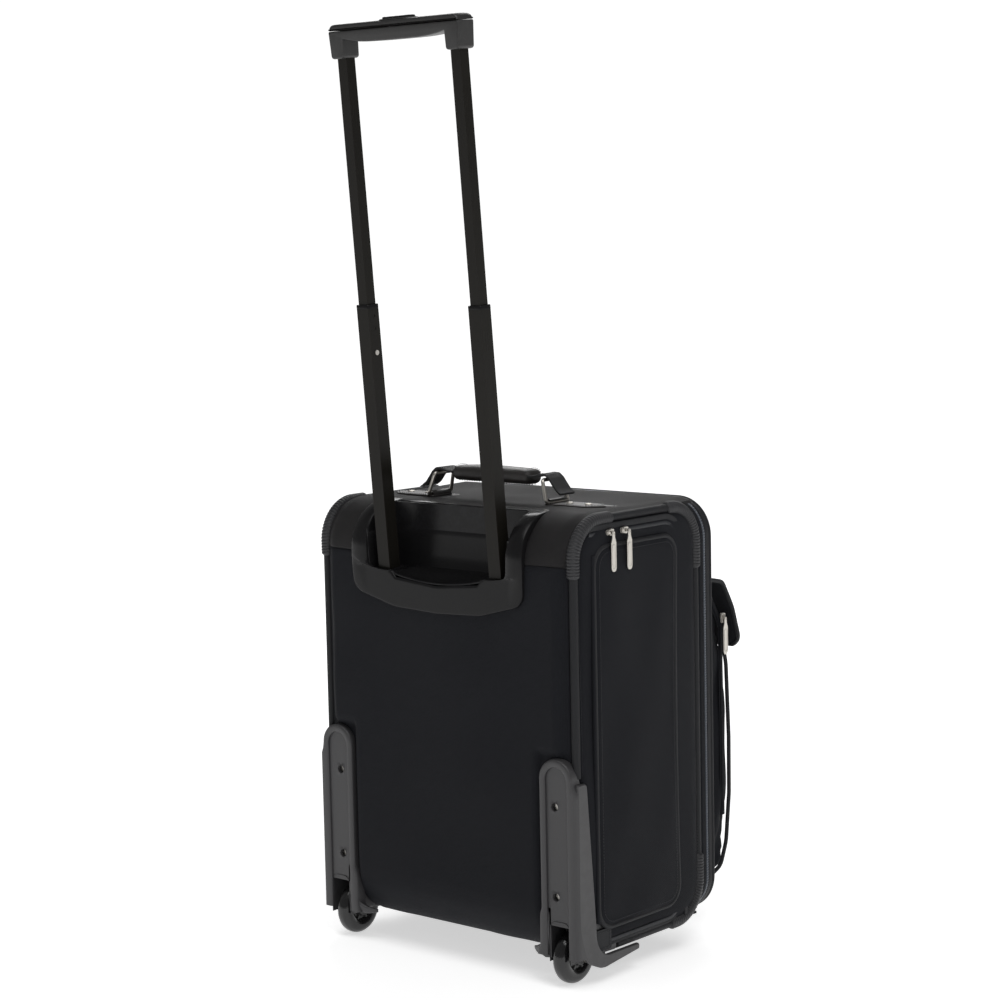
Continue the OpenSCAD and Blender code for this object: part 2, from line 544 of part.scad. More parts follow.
// ---- front cover, its pocket and the flap over it ----
cover_y = [-body_d - 13, -body_d - 2];
pocket_back = cover_y[0] - 0.3;
pocket_front = pocket_back - pocket_depth;
module front_cover() color(CLOTH) place() {
    along_y(cover_y[0], cover_y[0] + 5)
        polygon(rounded(1 - half_w, floor_z + 1, half_w - 1, top_z - 1, corner_r - 5));
    along_y(cover_y[0] + 5, cover_y[1]) difference() {
        polygon(rounded(1 - half_w, floor_z + 1, half_w - 1, top_z - 1, corner_r - 5));
        polygon(rounded(9 - half_w, floor_z + 9, half_w - 9, top_z - 9, corner_r - 13));
    }
    rod_x(1, corner_r - half_w, half_w - corner_r, cover_y[1], floor_z + 1);   // the hinge line
}
pocket_outline = [[pocket_back, floor_z + 32], [pocket_front + 40, floor_z + 31],
    [pocket_front + 16, floor_z + 42], [pocket_front + 7, floor_z + 68], [pocket_front, floor_z + 130],
    [pocket_front, top_z - 259], [pocket_front + 5, top_z - 186], [pocket_front + 15, top_z - 149],
    [pocket_front + 34, top_z - 112], [pocket_back, top_z - 106]];
module front_pocket() color(CLOTH) place() difference() {
    along_x(-pocket_half, pocket_half) polygon(pocket_outline);
    along_x(3 - pocket_half, pocket_half - 3) offset(delta = -3) polygon(pocket_outline);
    box([8 - pocket_half, pocket_front + 34, top_z - 124], [pocket_half - 8, pocket_back - 4, top_z - 94]);
}
flap_axis = [pocket_back - 2.5, top_z - 93];
module pocket_flap() color(CLOTH) place() {
    along_x(-pocket_half - 5, pocket_half + 5) polygon([[flap_axis[0] + 1.4, top_z - 95],
        [flap_axis[0] + 1.4, top_z - 91], [pocket_front + 40.3, top_z - 93],
        [pocket_front + 19.3, top_z - 98], [pocket_front + 0.3, top_z - 128], [-flap_reach, top_z - 166],
        [-flap_reach + 2.5, top_z - 167.5], [pocket_front + 2.8, top_z - 130],
        [pocket_front + 20.8, top_z - 101.5], [pocket_front + 40.3, top_z - 97]]);
    rod_x(2.2, -pocket_half - 5, pocket_half + 5, flap_axis[0], flap_axis[1]);
}
pocket_slider_at = [pocket_front + 16.5, top_z - 141];
module pocket_slider() color(STEEL) place() translate([0, pocket_slider_at[0], pocket_slider_at[1]])
    box([-pocket_half - 5.5, -4, -6], [-pocket_half - gap, 4, 6]);
module pocket_pull() color(STEEL) place() translate([0, pocket_slider_at[0], pocket_slider_at[1]])
    front_pull(-pocket_half - 7.6);
main_slider_z = top_z - 194;
module main_slider() color(STEEL) place() translate([0, (cover_y[0] + cover_y[1]) / 2, main_slider_z])
    box([half_w - 0.7, -4, -6], [half_w + 4.6, 4, 6]);
module main_pull() color(STEEL) place() translate([0, (cover_y[0] + cover_y[1]) / 2, main_slider_z])
    front_pull(half_w + 5.1);

back_panel();
top_panel();
bottom_panel();
side_panel_left();
side_panel_right();
front_rim();
piping_left();
piping_right();
corner_guards();
frame_wires();
back_board();
handle_well();
tube_pads();
outer_tube_left();
outer_tube_right();
tube_foot();
mid_tube_left();
mid_tube_right();
mid_collars();
mid_guides();
upper_tube_left();
upper_tube_right();
upper_guides();
grip_base();
grip_cover();
grip_screws();
lock_button();
push_rods();
button_spring();
lock_pin_left();
lock_pin_right();
wheel_housing_left();
wheel_housing_right();
housing_screws();
axles();
wheel_hub_left();
wheel_hub_right();
wheel_tyre_left();
wheel_tyre_right();
front_foot();
handle_patch();
handle_tabs();
tab_rivets();
ring_left();
ring_right();
handle_strap();
handle_grip();
side_door();
door_slider_rear();
door_pull_rear();
door_slider_front();
door_pull_front();
front_cover();
front_pocket();
pocket_flap();
pocket_slider();
pocket_pull();
main_slider();
main_pull();
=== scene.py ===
"""Looks of a soft two-wheeled pilot flight case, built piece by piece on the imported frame.

Lengths are millimetres in the maker's axes until a mesh is stored: Y = 0 is the plane of the back
piping, +Y is the trolley side, Z = 0 the ground. Shop.store() turns them into metres in the frame.
"""
from __future__ import annotations

import logging
import math
from dataclasses import dataclass, field
from enum import Enum
from typing import Callable, Iterable, Optional, Sequence

import bmesh
import bpy
import numpy as np
from mathutils import Matrix, Vector


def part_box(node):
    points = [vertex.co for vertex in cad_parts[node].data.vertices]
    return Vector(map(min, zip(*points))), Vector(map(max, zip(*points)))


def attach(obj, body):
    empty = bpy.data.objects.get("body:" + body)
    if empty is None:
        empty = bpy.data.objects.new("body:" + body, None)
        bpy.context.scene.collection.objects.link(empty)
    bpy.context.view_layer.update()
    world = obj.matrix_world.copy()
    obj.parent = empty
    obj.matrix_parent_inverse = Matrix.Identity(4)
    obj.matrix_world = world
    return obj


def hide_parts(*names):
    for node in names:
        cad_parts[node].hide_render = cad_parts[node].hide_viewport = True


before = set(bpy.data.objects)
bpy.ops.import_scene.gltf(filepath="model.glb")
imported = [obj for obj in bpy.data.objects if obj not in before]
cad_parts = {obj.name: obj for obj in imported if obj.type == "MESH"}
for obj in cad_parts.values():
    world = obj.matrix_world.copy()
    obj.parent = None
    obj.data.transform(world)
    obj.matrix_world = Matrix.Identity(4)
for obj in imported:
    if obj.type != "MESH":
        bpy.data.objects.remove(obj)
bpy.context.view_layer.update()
MM = 0.001
BACK_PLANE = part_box("top_panel")[1].y / MM
log = logging.getLogger("flight_case")
Array = np.ndarray
SIDES = ((1, "left"), (-1, "right"))


# ---- points, paths and surfaces --------------------------------------------------------------

def vec(*values: float) -> Array:
    """The values as an array of floats."""
    return np.array(values, float)


def unit(v: Array) -> Array:
    """The vectors in v, each scaled to a length of one."""
    return v / np.maximum(np.linalg.norm(v, axis=-1, keepdims=True), 1e-12)


def smooth(t: Array) -> Array:
    """A step that eases from 0 at t = 0 to 1 at t = 1."""
    t = np.clip(t, 0.0, 1.0)
    return t * t * (3 - 2 * t)


def arc(centre: Sequence[float], radius: float, start: float, end: float, count: int) -> Array:
    """Points of a circular arc in a plane: centre + radius (cos a, sin a), a from start to end.

    Args:
        centre: Middle of the circle.
        radius: Its radius.
        start: First angle in degrees.
        end: Last angle in degrees.
        count: How many points.

    Returns:
        The points, (count, 2).
    """
    a = np.radians(np.linspace(start, end, count))
    return np.stack([centre[0] + radius * np.cos(a), centre[1] + radius * np.sin(a)], -1)


def round_rect(low: Sequence[float], high: Sequence[float], radius: float, bend: int = 10,
               edge: int = 16) -> Array:
    """Outline of a rectangle with round corners, anticlockwise, its sides divided evenly.

    Args:
        low: Lowest corner.
        high: Highest corner.
        radius: Corner radius.
        bend: Steps in each corner.
        edge: Steps along each side.

    Returns:
        The points of the closed outline, (4 (bend + edge), 2).
    """
    r = max(radius, 0.05)
    corners = [((high[0] - r, high[1] - r), 0), ((low[0] + r, high[1] - r), 90),
               ((low[0] + r, low[1] + r), 180), ((high[0] - r, low[1] + r), 270)]
    arcs = [arc(c, r, a, a + 90, bend + 1) for c, a in corners]
    rows = []
    for i, here in enumerate(arcs):
        run = np.linspace(here[-1], arcs[(i + 1) % 4][0], edge + 1)
        rows += [here[:-1], run[:-1]]
    return np.concatenate(rows)


def fillet(points: Sequence[Sequence[float]], radii: Sequence[float], closed: bool = False,
           steps: int = 8) -> Array:
    """A polyline with each corner replaced by an arc tangent to both of its sides.

    Args:
        points: Corners, each of two or three numbers.
        radii: Radius at each corner.
        closed: Whether the last point joins the first.
        steps: Steps in each arc.

    Returns:
        The rounded path, (n, 2 or 3).
    """
    p = [vec(*q) for q in points]
    out = []
    for i, here in enumerate(p):
        if not closed and i in (0, len(p) - 1):
            out.append(here[None])
            continue
        a, b = unit(p[i - 1] - here), unit(p[(i + 1) % len(p)] - here)
        half = math.acos(float(np.clip(a @ b, -1, 1))) / 2
        if radii[i] <= 0 or half > math.pi / 2 - 1e-4:
            out.append(here[None])
            continue
        reach = radii[i] / math.tan(half)
        middle = here + unit(a + b) * radii[i] / math.sin(half)
        from_, to = here + a * reach - middle, here + b * reach - middle
        turn = math.pi - 2 * half
        t = np.linspace(0, 1, steps + 1)[:, None]
        out.append(middle + (np.sin((1 - t) * turn) * from_ + np.sin(t * turn) * to) / math.sin(turn))
    return np.concatenate(out)


def resample(path: Array, step: float, closed: bool = False) -> Array:
    """The path with its points spread evenly, about step apart."""
    p = np.concatenate([path, path[:1]]) if closed else path
    run = np.concatenate([[0], np.cumsum(np.linalg.norm(np.diff(p, axis=0), axis=1))])
    count = max(int(round(run[-1] / step)), 2)
    at = np.linspace(0, run[-1], count + 1)
    even = np.stack([np.interp(at, run, p[:, k]) for k in range(p.shape[1])], -1)
    return even[:-1] if closed else even


def lifted(flat: Array, put: Callable[[Array, Array], Array], height: float = 0.0) -> Array:
    """A flat path carried into space by put(flat points, heights)."""
    return put(flat, np.full(len(flat), float(height)))


def at_x(flat: Array, x: float) -> Array:
    """(y, z) points at x."""
    return np.stack([np.full(len(flat), x), flat[:, 0], flat[:, 1]], -1)


def at_y(flat: Array, y: float) -> Array:
    """(x, z) points at y."""
    return np.stack([flat[:, 0], np.full(len(flat), y), flat[:, 1]], -1)


def at_z(flat: Array, z: float) -> Array:
    """(x, y) points at z."""
    return np.stack([flat[:, 0], flat[:, 1], np.full(len(flat), z)], -1)


@dataclass
class Patch:
    """A stretch of surface: points in millimetres and the faces between them."""

    points: Array
    faces: list = field(default_factory=list)

    @staticmethod
    def join(parts: Iterable["Patch"]) -> "Patch":
        """One patch that holds all the parts."""
        points, faces, first = [], [], 0
        for part in parts:
            points.append(part.points)
            faces += [tuple(i + first for i in f) for f in part.faces]
            first += len(part.points)
        return Patch(np.concatenate(points), faces)

    def moved(self, shift: Sequence[float]) -> "Patch":
        """A copy moved by shift."""
        return Patch(self.points + vec(*shift), list(self.faces))

    def mirrored(self) -> "Patch":
        """A copy mirrored across X = 0, its faces turned to point outwards again."""
        return Patch(self.points * vec(-1, 1, 1), [tuple(reversed(f)) for f in self.faces])

    def capped(self, count: int, turned_over: bool = False) -> "Patch":
        """This patch with a face over its first row and one over its last.

        Args:
            count: Points in a row.
            turned_over: Whether both faces look the other way.

        Returns:
            The patch itself.
        """
        last = len(self.points) - count
        ends = [tuple(range(count)), tuple(range(last + count - 1, last - 1, -1))]
        self.faces += [end[::-1] for end in ends] if turned_over else ends
        return self


def grid(points: Array, close_u: bool = False, close_v: bool = False, flip: bool = False,
         keep: Optional[Array] = None) -> Patch:
    """Quads over a grid of points P(u, v); the faces point along dP/du x dP/dv.

    Args:
        points: The grid, (nu, nv, 3).
        close_u: Whether the last row joins the first.
        close_v: Whether the last column joins the first.
        flip: Turns the faces over.
        keep: Which cells to keep, or all of them.

    Returns:
        The patch.
    """
    nu, nv = points.shape[:2]
    index = np.arange(nu * nv).reshape(nu, nv)
    u = index if close_u else index[:-1]
    up = np.roll(index, -1, 0) if close_u else index[1:]
    a, b = (u, up) if close_v else (u[:, :-1], up[:, :-1])
    d, c = (np.roll(u, -1, 1), np.roll(up, -1, 1)) if close_v else (u[:, 1:], up[:, 1:])
    quads = np.stack([a, b, c, d], -1)
    quads = quads[keep] if keep is not None else quads.reshape(-1, 4)
    if flip:
        quads = quads[:, ::-1]
    return Patch(points.reshape(-1, 3), [tuple(q) for q in quads.tolist()])


def sweep(path: Array, section: Array, across: Array, closed: bool = False,
          swell: Optional[Array] = None) -> Patch:
    """A section carried along a path: P(i, j) = path_i + k_i (a_j n_i + b_j m_i).

    m is the part of across at right angles to the path, and n = m x tangent.

    Args:
        path: Points to follow, (n, 3).
        section: Outline (a, b) of the section, anticlockwise, (m, 2).
        across: One direction, or one for each point of the path.
        closed: Whether the path is a loop; if not, its ends get faces.
        swell: Factor k on the section at each point of the path.

    Returns:
        The patch.
    """
    if closed:
        tangent = unit(np.roll(path, -1, 0) - np.roll(path, 1, 0))
    else:
        tangent = unit(np.gradient(path, axis=0))
    m = np.broadcast_to(across, path.shape)
    m = unit(m - (m * tangent).sum(-1, keepdims=True) * tangent)
    n = np.cross(m, tangent)
    k = np.ones(len(path)) if swell is None else swell
    reach = k[:, None, None] * section[None, :, :]
    points = path[:, None] + reach[..., :1] * n[:, None] + reach[..., 1:] * m[:, None]
    made = grid(points, close_u=closed, close_v=True, flip=True)
    return made if closed else made.capped(len(section))


def circle(radius: float, sides: int = 16) -> Array:
    """A circular section."""
    return arc((0, 0), radius, 0, 360, sides + 1)[:-1]


def turned(profile: Array, axis: Sequence[float], sides: int = 48) -> Patch:
    """A profile (x, radius) turned about an axis parallel to X.

    Args:
        profile: Points from one end of the axis to the other, (n, 2).
        axis: The axis's (y, z).
        sides: Steps round the axis.

    Returns:
        The patch; a radius of zero at an end closes it there.
    """
    a = np.radians(np.arange(sides) * 360 / sides)
    x = np.repeat(profile[:, :1], sides, 1)
    y = axis[0] + profile[:, 1:] * np.cos(a)
    z = axis[1] + profile[:, 1:] * np.sin(a)
    return grid(np.stack([x, y, z], -1), close_v=True, flip=True)


def cushion(rim: Callable[[float], Array], put: Callable[[Array, Array], Array],
            roll: Sequence[tuple[float, float]], crown: float, levels: int = 18, power: float = 2.4,
            flip: bool = False, wrinkle: Optional[Callable[[Array], Array]] = None,
            keep: Optional[Callable[[Array], Array]] = None) -> Patch:
    """A padded face: rings that follow the rim inwards, then shrink to a point over a low dome.

    Height over a ring at share s of the inner field is h + crown (1 - s ** power).

    Args:
        rim: Gives the outline at an inset, (n, 2).
        put: Carries flat points and heights into space.
        roll: Inset and height of each ring of the rolled edge, from the rim inwards.
        crown: Rise of the middle over the last of those rings.
        levels: Rings in the inner field.
        power: Flatness of the dome.
        flip: Turns the faces over.
        wrinkle: Height added at flat points, faded out at the rim.
        keep: Which flat points' cells stay, or all of them.

    Returns:
        The patch.
    """
    flats = [rim(inset) for inset, _ in roll]
    heights = [np.full(len(flats[0]), h) for _, h in roll]
    inner, base = flats[-1], roll[-1][1]
    middle = (inner.min(0) + inner.max(0)) / 2
    for s in np.linspace(1, 0, levels + 1)[1:]:
        flats.append(middle + (inner - middle) * s)
        heights.append(np.full(len(inner), base + crown * (1 - s ** power)))
    flat, height = np.array(flats), np.array(heights)
    if wrinkle is not None:
        fade = smooth(np.arange(len(flats)) / max(len(roll), 1))[:, None]
        height = height + fade * wrinkle(flat.reshape(-1, 2)).reshape(height.shape)
    points = put(flat.reshape(-1, 2), height.reshape(-1)).reshape(*flat.shape[:2], 3)
    cells = None
    if keep is not None:
        centre = (flat[:-1] + flat[1:] + np.roll(flat, -1, 1)[:-1] + np.roll(flat, -1, 1)[1:]) / 4
        cells = keep(centre.reshape(-1, 2)).reshape(centre.shape[:2])
    return grid(points, close_v=True, flip=flip, keep=cells)


def ripple(seed: int, length: float, height: float, stretch: float = 1.0) -> Callable[[Array], Array]:
    """Gentle unevenness of cloth: a sum of nine sine waves in seeded directions.

    Args:
        seed: Seed of the directions and phases.
        length: Middle wavelength in millimetres.
        height: Largest height, about.
        stretch: How much longer the waves are along the second axis.

    Returns:
        A function from flat points to heights.
    """
    rng = np.random.default_rng(seed)
    angle = rng.uniform(0, 2 * math.pi, 9)
    wave = 2 * math.pi / (length * rng.uniform(0.55, 1.9, 9))
    k = np.stack([wave * np.cos(angle), wave * np.sin(angle) / stretch], -1)
    phase = rng.uniform(0, 2 * math.pi, 9)

    def at(p: Array) -> Array:
        """Height at flat points."""
        return height / 3 * np.sin(p @ k.T + phase).sum(-1) / 1.4

    return at


def stitches(path: Array, out: Array, pitch: float = 3.4, length: float = 2.5,
             radius: float = 0.28) -> Patch:
    """A row of sewn stitches, each a short thread whose ends dip into the cloth.

    Args:
        path: Line of the seam, (n, 3).
        out: Direction away from the cloth, one or one for each point.
        pitch: Distance between stitches.
        length: Length of a stitch.
        radius: Half the thread's width.

    Returns:
        The patch.
    """
    even = resample(path, pitch)
    tangent = unit(np.gradient(even, axis=0))
    up = resample_like(out, len(even)) if np.ndim(out) == 2 else np.broadcast_to(out, even.shape)
    side = np.cross(up, tangent)
    t = np.linspace(-1, 1, 5)
    a = np.radians(np.arange(6) * 60)
    along = (length / 2) * t[None, :, None, None] * tangent[:, None, None]
    lift = (radius * (1.6 * (1 - t ** 2) - 0.7))[None, :, None, None] * up[:, None, None]
    girth = (radius * np.sqrt(np.clip(1 - 0.8 * t ** 2, 0.1, 1)))[None, :, None, None]
    ring = np.cos(a)[:, None] * side[:, None, None] + np.sin(a)[:, None] * up[:, None, None]
    points = even[:, None, None] + along + lift + girth * ring
    parts = [grid(p, close_v=True, flip=True) for p in points]
    return Patch.join(parts)


def resample_like(values: Array, count: int) -> Array:
    """The rows of values spread over count rows, made unit vectors."""
    at = np.linspace(0, len(values) - 1, count)
    rows = [np.interp(at, np.arange(len(values)), values[:, k]) for k in range(values.shape[1])]
    return unit(np.stack(rows, -1))


# ---- finishes --------------------------------------------------------------------------------

class Tree:
    """Writes nodes into a material or a group; every method returns an output socket."""

    def __init__(self, tree: bpy.types.NodeTree) -> None:
        """Starts on an empty tree."""
        self.tree = tree
        self.tree.nodes.clear()

    def put(self, kind: str, settings: Optional[dict] = None, **inputs: object) -> bpy.types.Node:
        """Adds a node.

        Args:
            kind: Its type, without the words ShaderNode.
            settings: Properties of the node.
            inputs: Values or sockets for its inputs, by name, with _ for a space.

        Returns:
            The node.
        """
        name = kind if kind.startswith("NodeGroup") else "ShaderNode" + kind
        node = self.tree.nodes.new(name)
        for key, value in (settings or {}).items():
            setattr(node, key, value)
        for key, value in inputs.items():
            self.feed(node.inputs[key.replace("_", " ")], value)
        return node

    def feed(self, socket: bpy.types.NodeSocket, value: object) -> None:
        """Links a socket to an input, or sets the input's own value."""
        if isinstance(value, bpy.types.NodeSocket):
            self.tree.links.new(value, socket)
        elif isinstance(value, tuple) and len(value) == 3 and socket.type == "RGBA":
            socket.default_value = (*value, 1)
        else:
            socket.default_value = value

    def math(self, op: str, a: object, b: object = 0.0, c: object = 0.0) -> bpy.types.NodeSocket:
        """One Math node."""
        node = self.put("Math", {"operation": op})
        for socket, value in zip(node.inputs, (a, b, c)):
            self.feed(socket, value)
        return node.outputs[0]

    def mix(self, share: object, a: object, b: object) -> bpy.types.NodeSocket:
        """Colour a turning to colour b."""
        node = self.put("Mix", {"data_type": "RGBA"})
        self.feed(node.inputs[0], share)
        self.feed(node.inputs[6], a)
        self.feed(node.inputs[7], b)
        return node.outputs[2]

    def span(self, value: object, low: float, high: float, to_low: float, to_high: float,
             ) -> bpy.types.NodeSocket:
        """The value carried from low..high to to_low..to_high, held at the ends."""
        node = self.put("MapRange", None, Value=value, From_Min=low, From_Max=high, To_Min=to_low,
                        To_Max=to_high)
        return node.outputs[0]

    def place(self) -> bpy.types.NodeSocket:
        """Object coordinates."""
        return self.put("TexCoord").outputs["Object"]

    def noise(self, scale: object, detail: float = 3, rough: float = 0.55,
              where: Optional[bpy.types.NodeSocket] = None) -> bpy.types.NodeSocket:
        """Values of a noise texture on Object coordinates."""
        at = where or self.place()
        node = self.put("TexNoise", None, Vector=at, Scale=scale, Detail=detail, Roughness=rough)
        return node.outputs[0]


def group(name: str, inputs: dict[str, float], outputs: Sequence[str],
          build: Callable[[Tree, dict], dict]) -> bpy.types.NodeTree:
    """A shader node group with float inputs and outputs.

    Args:
        name: Name of the group.
        inputs: Each input's name and default.
        outputs: Names of the outputs.
        build: Gets the tree and the input sockets, and gives a socket for each output.

    Returns:
        The group's tree.
    """
    tree = bpy.data.node_groups.new(name, "ShaderNodeTree")
    for key, value in inputs.items():
        tree.interface.new_socket(key, in_out="INPUT", socket_type="NodeSocketFloat").default_value = value
    for key in outputs:
        tree.interface.new_socket(key, in_out="OUTPUT", socket_type="NodeSocketFloat")
    t = Tree(tree)
    entry = t.put("NodeGroupInput")
    exit_ = t.put("NodeGroupOutput")
    made = build(t, {key: entry.outputs[key] for key in inputs})
    for key in outputs:
        t.feed(exit_.inputs[key], made[key])
    return tree


def build_weave(t: Tree, i: dict) -> dict:
    """Basket weave: threads |sin(pi p / pitch)| of two directions, which take turns on a checkerboard.

    The two directions lie in the plane that the face's normal is nearest to.
    """
    xyz = t.put("SeparateXYZ", None, Vector=t.place())
    n = t.put("SeparateXYZ", None, Vector=t.put("NewGeometry").outputs["Normal"])
    side = [t.math("ABSOLUTE", n.outputs[k]) for k in range(3)]
    thread = [t.math("ABSOLUTE", t.math("SINE", t.math("DIVIDE", t.math("MULTIPLY", xyz.outputs[k],
              math.pi), i["Pitch"]))) for k in range(3)]
    is_x = t.math("GREATER_THAN", side[0], t.math("MAXIMUM", side[1], side[2]))
    is_z = t.math("GREATER_THAN", side[2], t.math("MAXIMUM", side[1], side[0]))
    warp = t.math("ADD", t.math("MULTIPLY", thread[1], is_x),
                  t.math("MULTIPLY", thread[0], t.math("SUBTRACT", 1.0, is_x)))
    weft = t.math("ADD", t.math("MULTIPLY", thread[1], is_z),
                  t.math("MULTIPLY", thread[2], t.math("SUBTRACT", 1.0, is_z)))
    parity = t.put("TexChecker", None, Vector=t.place(), Scale=t.math("DIVIDE", 1.0, i["Pitch"]))
    over = parity.outputs["Fac"]
    height = t.math("ADD", t.math("MULTIPLY", warp, over),
                    t.math("MULTIPLY", weft, t.math("SUBTRACT", 1.0, over)))
    slub = t.noise(t.math("DIVIDE", 0.22, i["Pitch"]), 4, 0.7)
    shade = t.math("ADD", t.math("MULTIPLY", over, 0.3), t.math("MULTIPLY", slub, 0.9))
    return {"Height": height, "Shade": shade}


def build_grain(t: Tree, i: dict) -> dict:
    """Moulded or hide grain: cells of a Voronoi pattern, bent and mixed with noise."""
    at = t.place()
    bend = t.put("TexNoise", None, Vector=at, Scale=t.math("MULTIPLY", i["Scale"], 0.4))
    mixed = t.put("VectorMath", {"operation": "MULTIPLY_ADD"})
    t.feed(mixed.inputs[0], bend.outputs["Color"])
    t.feed(mixed.inputs[1], (0.004, 0.004, 0.004))
    t.feed(mixed.inputs[2], at)
    cells = t.put("TexVoronoi", {"feature": "DISTANCE_TO_EDGE"}, Vector=mixed.outputs[0],
                  Scale=i["Scale"])
    fine = t.noise(t.math("MULTIPLY", i["Scale"], 3.1), 3)
    pit = t.span(cells.outputs[0], 0.0, 0.28, 0.0, 1.0)
    return {"Height": t.math("ADD", t.math("MULTIPLY", pit, 0.75), t.math("MULTIPLY", fine, 0.4)),
            "Shade": t.span(fine, 0.25, 0.75, 0.0, 1.0)}


def build_wear(t: Tree, i: dict) -> dict:
    """Rubbed edges, where the surface turns outwards sharply, broken up by noise."""
    point = t.put("NewGeometry").outputs["Pointiness"]
    edge = t.span(point, 0.52, 0.62, 0.0, 1.0)
    patchy = t.span(t.noise(90.0, 5, 0.65), 0.42, 0.62, 0.15, 1.0)
    return {"Mask": t.math("MULTIPLY", t.math("MULTIPLY", edge, patchy), i["Amount"])}


def build_dust(t: Tree, i: dict) -> dict:
    """Lint and dust: more on faces that look up, in soft clouds with fine specks."""
    up = t.put("SeparateXYZ", None, Vector=t.put("NewGeometry").outputs["Normal"]).outputs[2]
    lies = t.span(up, -0.2, 1.0, 0.25, 1.0)
    cloud = t.span(t.noise(14.0, 5, 0.6), 0.42, 0.72, 0.0, 1.0)
    speck = t.span(t.noise(900.0, 2, 0.6), 0.66, 0.78, 0.0, 1.0)
    both = t.math("ADD", t.math("MULTIPLY", cloud, 0.6), t.math("MULTIPLY", speck, 0.7))
    return {"Mask": t.math("MULTIPLY", t.math("MULTIPLY", both, lies), i["Amount"])}


class Surface(Enum):
    """What the small relief of a finish is."""

    WEAVE = "weave"
    GRAIN = "grain"
    BRUSHED = "brushed"


@dataclass(frozen=True)
class Finish:
    """How one kind of surface looks.

    Attributes:
        name: Name of the material.
        slot: The record's material slot; not used.
        color: Main colour, linear.
        accent: Colour that the relief and slow stains turn it to.
        rough: Lowest and highest roughness.
        relief: Kind of small relief.
        size: Thread pitch in metres, or cells per metre of the grain.
        depth: Height of the relief in metres.
        strength: Strength of its Bump node.
        metal: Metallic.
        sheen: Weight of the sheen.
        coat: Weight of the clear coat.
        specular: Specular level.
        wear: Amount of rubbed edge.
        worn: Colour of the rubbed edge.
        dust: Amount of dust.
    """

    name: str
    slot: str
    color: tuple[float, float, float]
    accent: tuple[float, float, float]
    rough: tuple[float, float]
    relief: Surface = Surface.GRAIN
    size: float = 900.0
    depth: float = 0.0002
    strength: float = 0.35
    metal: float = 0.0
    sheen: float = 0.0
    coat: float = 0.0
    specular: float = 0.5
    wear: float = 0.25
    worn: tuple[float, float, float] = (0.2, 0.2, 0.2)
    dust: float = 0.1


CLOTH = Finish("ballistic_cloth", "ballistic_nylon", (0.0052, 0.0058, 0.0080), (0.0115, 0.0122, 0.0155),
               (0.62, 0.82), Surface.WEAVE, 0.00125, 0.00022, 0.75, sheen=0.02, specular=0.14,
               wear=0.06, worn=(0.045, 0.045, 0.05), dust=0.02)
TOP_CLOTH = Finish("top_cloth", "ballistic_nylon", (0.0075, 0.007, 0.0078), (0.0155, 0.0142, 0.0145),
                   (0.6, 0.8), Surface.WEAVE, 0.00125, 0.00022, 0.75, sheen=0.03, specular=0.25,
                   wear=0.08, worn=(0.05, 0.05, 0.05), dust=0.03)
BINDING = Finish("binding_tape", "piping", (0.0065, 0.007, 0.0085), (0.014, 0.0145, 0.017), (0.5, 0.7),
                 Surface.WEAVE, 0.0009, 0.00016, 0.6, sheen=0.03, specular=0.3, wear=0.15,
                 worn=(0.04, 0.04, 0.045), dust=0.03)
LINING = Finish("lining_cloth", "ballistic_nylon", (0.035, 0.036, 0.042), (0.05, 0.05, 0.058),
                (0.6, 0.75), Surface.WEAVE, 0.0008, 0.0001, 0.4, sheen=0.1, specular=0.3, wear=0.0,
                dust=0.03)
THREAD = Finish("sewing_thread", "piping", (0.016, 0.0165, 0.02), (0.028, 0.028, 0.032), (0.5, 0.65),
                Surface.WEAVE, 0.0005, 0.0001, 0.3, wear=0.0, dust=0.03)
TEETH = Finish("zip_coil", "piping", (0.045, 0.052, 0.066), (0.12, 0.135, 0.16), (0.35, 0.5),
               Surface.GRAIN, 1500.0, 0.0001, 0.2, wear=0.2, worn=(0.3, 0.32, 0.35), dust=0.03)
DARK_TEETH = Finish("door_zip_coil", "piping", (0.010, 0.011, 0.014), (0.024, 0.026, 0.03), (0.3, 0.45),
                    Surface.GRAIN, 1500.0, 0.0001, 0.2, wear=0.1, worn=(0.08, 0.08, 0.09), dust=0.02)
RUBBER = Finish("ribbed_rubber", "ribbed_rubber", (0.018, 0.018, 0.020), (0.032, 0.032, 0.035),
                (0.42, 0.58), Surface.GRAIN, 1400.0, 0.00012, 0.3, specular=0.4, wear=0.35,
                worn=(0.09, 0.09, 0.095), dust=0.04)
STEEL = Finish("spring_steel", "spring_steel", (0.56, 0.54, 0.5), (0.42, 0.4, 0.37), (0.22, 0.38),
               Surface.BRUSHED, 500.0, 0.00006, 0.25, metal=1.0, wear=0.0, dust=0.04)
NICKEL = Finish("satin_nickel", "nickel", (0.60, 0.575, 0.53), (0.46, 0.43, 0.39), (0.24, 0.4),
                Surface.BRUSHED, 420.0, 0.00006, 0.3, metal=1.0, wear=0.3, worn=(0.75, 0.72, 0.66),
                dust=0.05)
BOARD = Finish("frame_board", "board", (0.02, 0.02, 0.02), (0.035, 0.034, 0.033), (0.55, 0.7),
               Surface.GRAIN, 700.0, 0.0002, 0.3)
GLOSS = Finish("gloss_plastic", "gloss_black_plastic", (0.0072, 0.0070, 0.0074), (0.0125, 0.0123, 0.0130),
               (0.17, 0.27), Surface.GRAIN, 1300.0, 0.00006, 0.2, specular=0.16, wear=0.12,
               worn=(0.05, 0.05, 0.055), dust=0.02)
TUBE = Finish("anodised_tube", "anodised_tube", (0.0080, 0.0073, 0.0060), (0.0145, 0.0130, 0.0105),
              (0.24, 0.34), Surface.BRUSHED, 300.0, 0.00004, 0.2, metal=0.0, specular=0.12, wear=0.0,
              worn=(0.1, 0.09, 0.08), dust=0.008)
